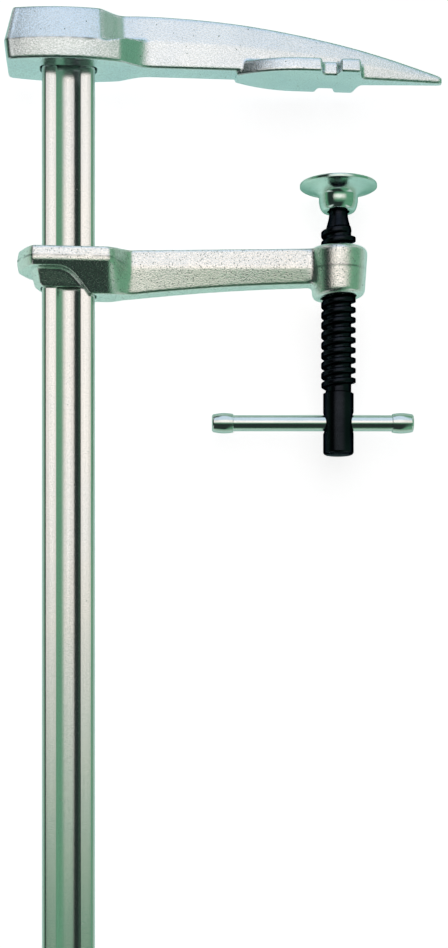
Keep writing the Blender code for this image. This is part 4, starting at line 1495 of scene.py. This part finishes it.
@dataclass
class PressurePlate(Assembly):
    """The pressure plate: a turned disc with a cup that is crimped round the screw's ball."""

    radius: float = 22.2 * MM
    rim: float = 1.8 * MM
    edge: float = 0.7 * MM
    flare_handles: tuple[Point, ...] = ((0.8 * MM, 0.5 * MM), (0.55, 1.6 * MM), (1.2 * MM, 2.2 * MM))
    cup_radius: float = 11.2 * MM
    cup_top: float = 7.4 * MM
    cup_bottom: float = 15.9 * MM
    cup_shoulder: float = 9.9 * MM
    crimp_handles: tuple[Point, ...] = ((0.4 * MM, 0.6), (1.4 * MM, 0.0))
    mouth_edge: float = 8.3 * MM
    mouth_wall: float = 0.5 * MM
    sides: int = 128

    def pieces(self) -> dict[str, Solid]:
        """The plate, turned about the screw's axis.

        Returns:
            The piece, by the node that it replaces.
        """
        gap, depth = self.clearance, self.ball_depth
        rounded = [(self.radius - inset, -fall) for inset, fall in reversed(corner_round(self.edge, 5))]
        start, middle, last = self.flare_handles
        flare = (
            (self.radius - start[0], -self.rim - start[1]),
            (blend(self.radius, self.cup_radius, middle[0]), -self.rim - middle[1]),
            (self.cup_radius + last[0], -self.cup_top + last[1]),
            (self.cup_radius, -self.cup_top),
        )
        upper, lower = self.crimp_handles
        crimp = (
            (self.cup_radius, -self.cup_shoulder),
            (self.cup_radius - upper[0], blend(-self.cup_shoulder, -self.cup_bottom, upper[1])),
            (self.mouth_edge + lower[0], -self.cup_bottom),
            (self.mouth_edge, -self.cup_bottom),
        )
        mouth, cavity = self.neck_radius + 2 * gap, self.ball_radius + gap
        seat = arc((0, -depth), cavity, -QUARTER + math.asin(mouth / cavity), QUARTER, 16)
        profile = [(0, 0), *rounded, (self.radius, -self.rim), *bezier(flare, 18), *bezier(crimp, 14)]
        profile += [(mouth + self.mouth_wall, -self.cup_bottom), *seat[:-1], (0, -depth + cavity)]
        centre = Vector((0, self.plate_face, 0))
        return {"pressure_plate": turned("pressure_plate_disc", profile, self.sides, centre, UP)}


@dataclass
class Spindle(Assembly):
    """The black screw: ball, neck, trapezoidal thread, and a shank with a cross hole.

    The thread's profile is given as shares of the pitch and of the thread's depth.
    """

    radius: float = 10.0 * MM
    root: float = 7.4 * MM
    pitch: float = 5.8 * MM
    start_turns: float = 0.5
    end_turns: float = 0.15
    flare_start: float = 17.1 * MM
    flare_end: float = 26.7 * MM
    flare_over: float = 0.3 * MM
    shank_radius: float = 8.8 * MM
    shank_top_edge: Point = (0.25 * MM, 0.2 * MM)
    shank_edge: float = 1.6 * MM
    root_end: float = 0.2
    centre_hole: float = 1.2 * MM
    hole_flare: float = 1.5 * MM
    hole_over: float = 2.0 * MM
    hole_sides: int = 48
    sides: int = 72
    profile: tuple[Point, ...] = (
        (0.00, 0.00),
        (0.10, 0.00),
        (0.15, 0.06),
        (0.25, 0.78),
        (0.285, 0.94),
        (0.33, 1.00),
        (0.50, 1.00),
        (0.67, 1.00),
        (0.715, 0.94),
        (0.75, 0.78),
        (0.85, 0.06),
        (0.90, 0.00),
    )

    def core(self, height: float) -> float:
        """Radius of the core, which flares from the neck to the thread's root.

        Args:
            height: the height.

        Returns:
            The radius.
        """
        start = self.plate_face - self.flare_start
        end = self.plate_face - self.flare_end
        t = held((height - start) / (end - start))
        return blend(self.neck_radius, self.root, t * t * (2 - t))

    def profile_above(self) -> list[Point]:
        """The turned form above the thread.

        Returns:
            (radius, height) of its rings, from the ball's top to the first thread.
        """
        ball = self.ball_radius
        centre = self.plate_face - self.ball_depth
        angles = span(0, math.pi - math.asin(self.neck_radius / ball), 16)[1:]
        heights = span(self.plate_face - self.flare_start, self.thread_top + self.flare_over, 8)
        rings = [(ball * math.sin(angle), centre + ball * math.cos(angle)) for angle in angles]
        return rings + [(self.core(height), height) for height in heights]

    def profile_below(self) -> list[Point]:
        """The turned form below the thread.

        Returns:
            (radius, height) of its rings, from the last thread to the shank's end.
        """
        end = self.shank_end
        top = self.thread_bottom - self.shank_top
        inset, rise = self.shank_top_edge
        return [
            (self.root, self.thread_bottom - self.root_end * self.shank_top),
            (self.shank_radius - inset, top + rise),
            (self.shank_radius, top),
            *((self.shank_radius - a, end + b) for a, b in corner_round(self.shank_edge, 6)),
            (self.centre_hole, end),
        ]

    def threaded(self) -> Solid:
        """The screw in one skin: turned ends, and a helical strip stitched to itself each turn.

        Returns:
            The screw without its hole.
        """
        builder = bmesh.new()
        sides = self.sides
        steps = int((self.thread_length / self.pitch - 1) * sides)
        angle_step = ROUND / sides

        def at(angle: float, radius: float, height: float) -> bmesh.types.BMVert:
            """A vertex at an angle about the screw's axis."""
            return builder.verts.new((radius * math.cos(angle), height, radius * math.sin(angle)))

        def on_thread(step: int, share: float, rise: float) -> bmesh.types.BMVert:
            """A vertex of the thread.

            Args:
                step: its step along the helix.
                share: how far down the pitch it lies.
                rise: how far up the thread's depth it lies.

            Returns:
                The vertex.
            """
            height = self.thread_top - self.pitch * (step / sides + share)
            core = self.core(height)
            return at(step * angle_step, core + rise * (self.radius - core), height)

        def rings(points: Sequence[Point]) -> list[list[bmesh.types.BMVert]]:
            """Rings of vertices."""
            return [[at(i * angle_step, radius, height) for i in range(sides)] for radius, height in points]

        lines = []
        for step in range(steps + 1):
            fade = min(1.0, step / (self.start_turns * sides), (steps - step) / (self.end_turns * sides))
            lines.append([on_thread(step, share, fade * rise) for share, rise in self.profile])
        ends = [on_thread(step, 1, 0) for step in range(steps - sides + 1, steps + 1)]
        firsts = [line[0] for line in lines] + ends
        full = [line + [firsts[step + sides]] for step, line in enumerate(lines)]
        for here, there in zip(full, full[1:]):
            for k in range(len(self.profile)):
                builder.faces.new((here[k], here[k + 1], there[k + 1], there[k]))

        above = rings(self.profile_above())
        top = at(0, 0, self.plate_face - self.ball_depth + self.ball_radius)
        join_rings(builder, [[top], *above])
        edge = above[-1]
        for i in range(sides - 1):
            builder.faces.new((edge[i], firsts[i], firsts[i + 1], edge[i + 1]))
        builder.faces.new([edge[-1], firsts[sides - 1], *reversed(full[0]), edge[0]])

        offset = steps % sides
        below = [ring[offset:] + ring[:offset] for ring in rings(self.profile_below())]
        last_turn, edge = firsts[steps:], below[0]
        builder.faces.new([*full[steps], edge[0], edge[1], last_turn[1]])
        for i in range(1, sides):
            builder.faces.new((last_turn[i], edge[i], edge[(i + 1) % sides], last_turn[i + 1]))
        join_rings(builder, [*below, [at(0, 0, self.shank_end + self.centre_hole)]])
        return finish_mesh("spindle_screw", builder)

    def pieces(self) -> dict[str, Solid]:
        """The screw with its cross hole, flared at both mouths.

        Returns:
            The piece, by the node that it replaces.
        """
        screw = self.threaded()
        hole_radius = self.bar_radius + self.clearance
        reach = self.shank_radius + self.hole_over
        mouth = self.shank_radius - self.hole_flare
        flare = hole_radius + reach - mouth
        profile = [(0, reach), (flare, reach), (hole_radius, mouth)]
        profile += [(radius, -height) for radius, height in reversed(profile)]
        centre = Vector((0, self.hole_y, 0))
        hole = turned("cross_hole", profile, self.hole_sides, centre, self.bar_way)
        cut(screw, [hole])
        baked(screw, [hole])
        screw.data.shade_smooth()
        screw.data.set_sharp_from_angle(angle=SHARP)
        return {"spindle": screw}


@dataclass
class TommyBar(Assembly):
    """The T-bar: a plain rod with a barrel-shaped cap pressed on each end."""

    length: float = 116.0 * MM
    offset: float = -14.8 * MM
    chamfer: float = 0.6 * MM
    cap_radius: float = 5.8 * MM
    cap_length: float = 12.3 * MM
    cap_end_radius: float = 5.2 * MM
    cap_wall: float = 2.8 * MM
    cap_round: float = 1.5 * MM
    cap_round_end: float = 0.15
    cap_swell: float = 0.94
    cap_steps: int = 18
    cap_edge: Point = (0.25 * MM, 0.2 * MM)
    sides: int = 64

    def along(self, name: str, profile: Sequence[Point], place: float, way: float) -> Solid:
        """Turns a profile about the bar's axis from a place on it, to the right (way 1) or left (-1)."""
        centre = Vector((0, self.hole_y, 0)) + self.bar_way * place
        return turned(name, profile, self.sides, centre, self.bar_way * way)

    def rod(self) -> Solid:
        """The plain rod.

        Returns:
            The piece, which ends inside its caps.
        """
        radius = self.bar_radius
        half = self.length / 2 - self.cap_wall - self.clearance
        end = [(0, half), (radius - self.chamfer, half), (radius, half - self.chamfer)]
        return self.along("tommy_bar_rod", end + [(r, -h) for r, h in reversed(end)], self.offset, 1)

    def cap(self, end: End) -> Solid:
        """The cap on one end.

        Args:
            end: the end.

        Returns:
            The piece.
        """
        bore = self.bar_radius + self.clearance
        corner = (self.cap_end_radius - self.cap_round, -self.cap_round)
        inset, rise = self.cap_edge
        barrel = [(0, 0), *arc(corner, self.cap_round, QUARTER, self.cap_round_end, 8)]
        for t in span(0, 1, self.cap_steps)[1:]:
            radius = blend(self.cap_end_radius, self.cap_radius, math.sin(math.pi * t * self.cap_swell))
            barrel.append((radius, blend(-self.cap_round, -self.cap_length + rise, t)))
        barrel += [(barrel[-1][0] - inset, -self.cap_length), (bore, -self.cap_length)]
        barrel += [(bore, -self.cap_wall), (0, -self.cap_wall)]
        place = self.offset + end.value * self.length / 2
        return self.along(f"cap_{end.name.lower()}", barrel, place, end.value)

    def pieces(self) -> dict[str, Solid]:
        """The rod and its two caps, by their nodes."""
        rod = {"tommy_bar": self.rod()}
        return rod | {f"tommy_bar_cap_{end.name.lower()}": self.cap(end) for end in End}


# The studio


@dataclass
class Studio:
    """A pale floor, a soft light above the clamp and a darker room round it, and the camera.

    The room's edges are angles in degrees from straight up, along the rail (along) and across it (aside).
    """

    floor_height: float = -22.4 * MM
    floor_half: float = 3.0
    floor_centre: Point = (-0.05, -0.30)
    floor_paint: float = 0.62
    floor_white: float = 0.80
    # Painted reflection: the mint glow that the metal sees in the floor, and its darker tone at grazing
    # angles.
    floor_glow: Colour = (0.28, 0.49, 0.42)
    floor_glow_grazing: Colour = (0.12, 0.25, 0.16)
    floor_slant: Point = (0.40, 0.85)
    camera_place: tuple[float, float, float] = (-0.14886, -0.36862, 1.00707)
    camera_turn: float = -4.7 * DEG
    lens: float = 67.03
    shift_up: float = 0.2627
    clip_start: float = 0.01
    warm: Colour = (1.0, 0.94, 0.88)
    cool: Colour = (0.68, 0.82, 0.95)
    dark: Colour = (0.022, 0.034, 0.030)
    green: Colour = (0.15, 0.35, 0.22)
    corner_light: Colour = (0.70, 0.73, 0.72)
    light_along: tuple[Point, Point] = ((-8.5, 6), (76, 92))
    light_aside: tuple[Point, Point] = ((-41, -30), (19, 47))
    cool_along: Point = (20, 36)
    green_low: Point = (0.04, 0.20)
    green_far_aside: Point = (-84, -68)
    green_near_along: Point = (-22, -4)
    green_near_aside: Point = (-40, -22)
    green_right_aside: Point = (12, 40)
    corner_edge: Point = (0.50, 0.62)
    neutral_walls: float = 0.10
    neutral_light: float = 0.94
    lamp_place: tuple[float, float, float] = (-0.15, 0.25, 1.5)
    lamp_tilt: float = -12 * DEG
    lamp_size: float = 0.9
    lamp_power: float = 0.4

    def build_world(self) -> None:
        """The room: white to the camera, and to the clamp a light overhead with darker walls."""
        world = bpy.data.worlds.new("room")
        bpy.context.scene.world = world
        sheet = NodeSheet.of(world)
        way = sheet.add("ShaderNodeTexCoord").outputs["Generated"]
        parts = sheet.add("ShaderNodeSeparateXYZ", {"Vector": way}).outputs
        aside = sheet.math("ARCTAN2", parts["X"], parts["Z"])
        along = sheet.math("ARCTAN2", parts["Y"], parts["Z"])

        def rise(angle: Socket, edge: Point) -> Socket:
            """A step up between two angles."""
            return sheet.step(angle, edge[0] * DEG, edge[1] * DEG)

        def fall(angle: Socket, edge: Point) -> Socket:
            """A step down between two angles."""
            return sheet.step(angle, edge[0] * DEG, edge[1] * DEG, 1, 0)

        def outer(part: str) -> Socket:
            """A step up where a part of the direction is large either way."""
            return sheet.step(sheet.math("ABSOLUTE", parts[part]), *self.corner_edge)

        bands = ((along, self.light_along), (aside, self.light_aside))
        edges = [step(angle, edge) for angle, band in bands for step, edge in zip((rise, fall), band)]
        overhead = sheet.math("MULTIPLY", *edges)
        lit = sheet.mix(rise(along, self.cool_along), self.warm, self.cool)
        low = sheet.step(parts["Z"], *self.green_low, 1, 0)
        far = fall(aside, self.green_far_aside)
        near = sheet.math("MULTIPLY", rise(along, self.green_near_along), rise(aside, self.green_near_aside))
        green = sheet.math("MAXIMUM", low, far, near, rise(aside, self.green_right_aside))
        corners = sheet.math("MULTIPLY", outer("X"), outer("Y"))
        walls = sheet.mix(corners, sheet.mix(green, self.dark, self.green), self.corner_light)
        paths = sheet.add("ShaderNodeLightPath").outputs
        plain = sheet.mix(overhead, (self.neutral_walls,) * 3, (self.neutral_light,) * 3)
        shown = sheet.mix(paths["Diffuse Depth"], sheet.mix(overhead, walls, lit), plain)
        room, white = (sheet.add("ShaderNodeBackground", {"Color": tone}) for tone in (shown, (1, 1, 1, 1)))
        inputs = {0: paths["Is Camera Ray"], 1: room.outputs[0], 2: white.outputs[0]}
        chosen = sheet.add("ShaderNodeMixShader", inputs)
        sheet.add("ShaderNodeOutputWorld", {"Surface": chosen.outputs[0]})

    def build_floor(self) -> None:
        """The floor that the clamp lies on, white to the camera but for the clamp's soft shadow, and to the
        metal's reflections a painted mint glow that darkens at grazing angles.
        """
        builder = bmesh.new()
        bmesh.ops.create_grid(builder, x_segments=2, y_segments=2, size=self.floor_half)
        floor = finish_mesh("floor", builder)
        floor.location = (*self.floor_centre, self.floor_height)
        made = bpy.data.materials.new("pale_floor")
        sheet = NodeSheet.of(made)
        paint = sheet.add("ShaderNodeBsdfDiffuse", {"Color": (*(self.floor_paint,) * 3, 1)})
        paths = sheet.add("ShaderNodeLightPath").outputs
        plain = sheet.math("MAXIMUM", paths["Is Camera Ray"], paths["Diffuse Depth"])
        # To glossy rays the floor glows mint, darker at grazing angles. This is a painted reflection for the
        # metal to show, not light that falls on the floor.
        slant = sheet.add("ShaderNodeLayerWeight", {"Blend": 0.5}).outputs["Facing"]
        mirrored_tone = sheet.mix(sheet.step(slant, *self.floor_slant), self.floor_glow, self.floor_glow_grazing)
        shine = sheet.mix(plain, mirrored_tone, (self.floor_white,) * 3)
        either = sheet.math("MAXIMUM", paths["Is Camera Ray"], paths["Is Glossy Ray"])
        glow = sheet.add("ShaderNodeEmission", {"Color": shine, "Strength": either})
        both = sheet.add("ShaderNodeAddShader", {0: paint.outputs[0], 1: glow.outputs[0]})
        sheet.add("ShaderNodeOutputMaterial", {"Surface": both.outputs[0]})
        floor.data.materials.append(made)

    def build_lamp(self) -> None:
        """A soft lamp above the clamp."""
        light = bpy.data.lights.new("soft_lamp", "AREA")
        light.shape = "DISK"
        light.size = self.lamp_size
        light.energy = self.lamp_power
        lamp = added("soft_lamp", light)
        lamp.location = self.lamp_place
        lamp.rotation_euler = (self.lamp_tilt, 0, 0)

    def build_camera(self) -> None:
        """The camera, which looks down on the clamp."""
        data = bpy.data.cameras.new("camera")
        data.lens = self.lens
        data.shift_y = self.shift_up
        data.clip_start = self.clip_start
        camera = added("camera", data)
        camera.location = self.camera_place
        camera.rotation_euler = (0, self.camera_turn, 0)
        bpy.context.scene.camera = camera

    def build(self) -> None:
        """Sets the stage."""
        bpy.context.scene.view_settings.view_transform = "Standard"
        self.build_world()
        self.build_floor()
        self.build_lamp()
        self.build_camera()


def main() -> None:
    """Builds the studio and each sub-assembly, and reports each piece."""
    logging.basicConfig(level=logging.INFO, format="%(message)s")
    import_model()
    Studio().build()
    workshop = Workshop()
    assemblies = (
        Rail(Body.RAIL, ROLLED),
        FixedArm(Body.RAIL, FORGED_COOL),
        SlidingArm(Body.SLIDE, FORGED),
        PressurePlate(Body.PLATE, BRIGHT_GREEN),
        Spindle(Body.SCREW, BLACK),
        TommyBar(Body.BAR, BRIGHT),
    )
    for assembly in assemblies:
        assembly.dress(workshop)


if __name__ == "__main__":
    main()
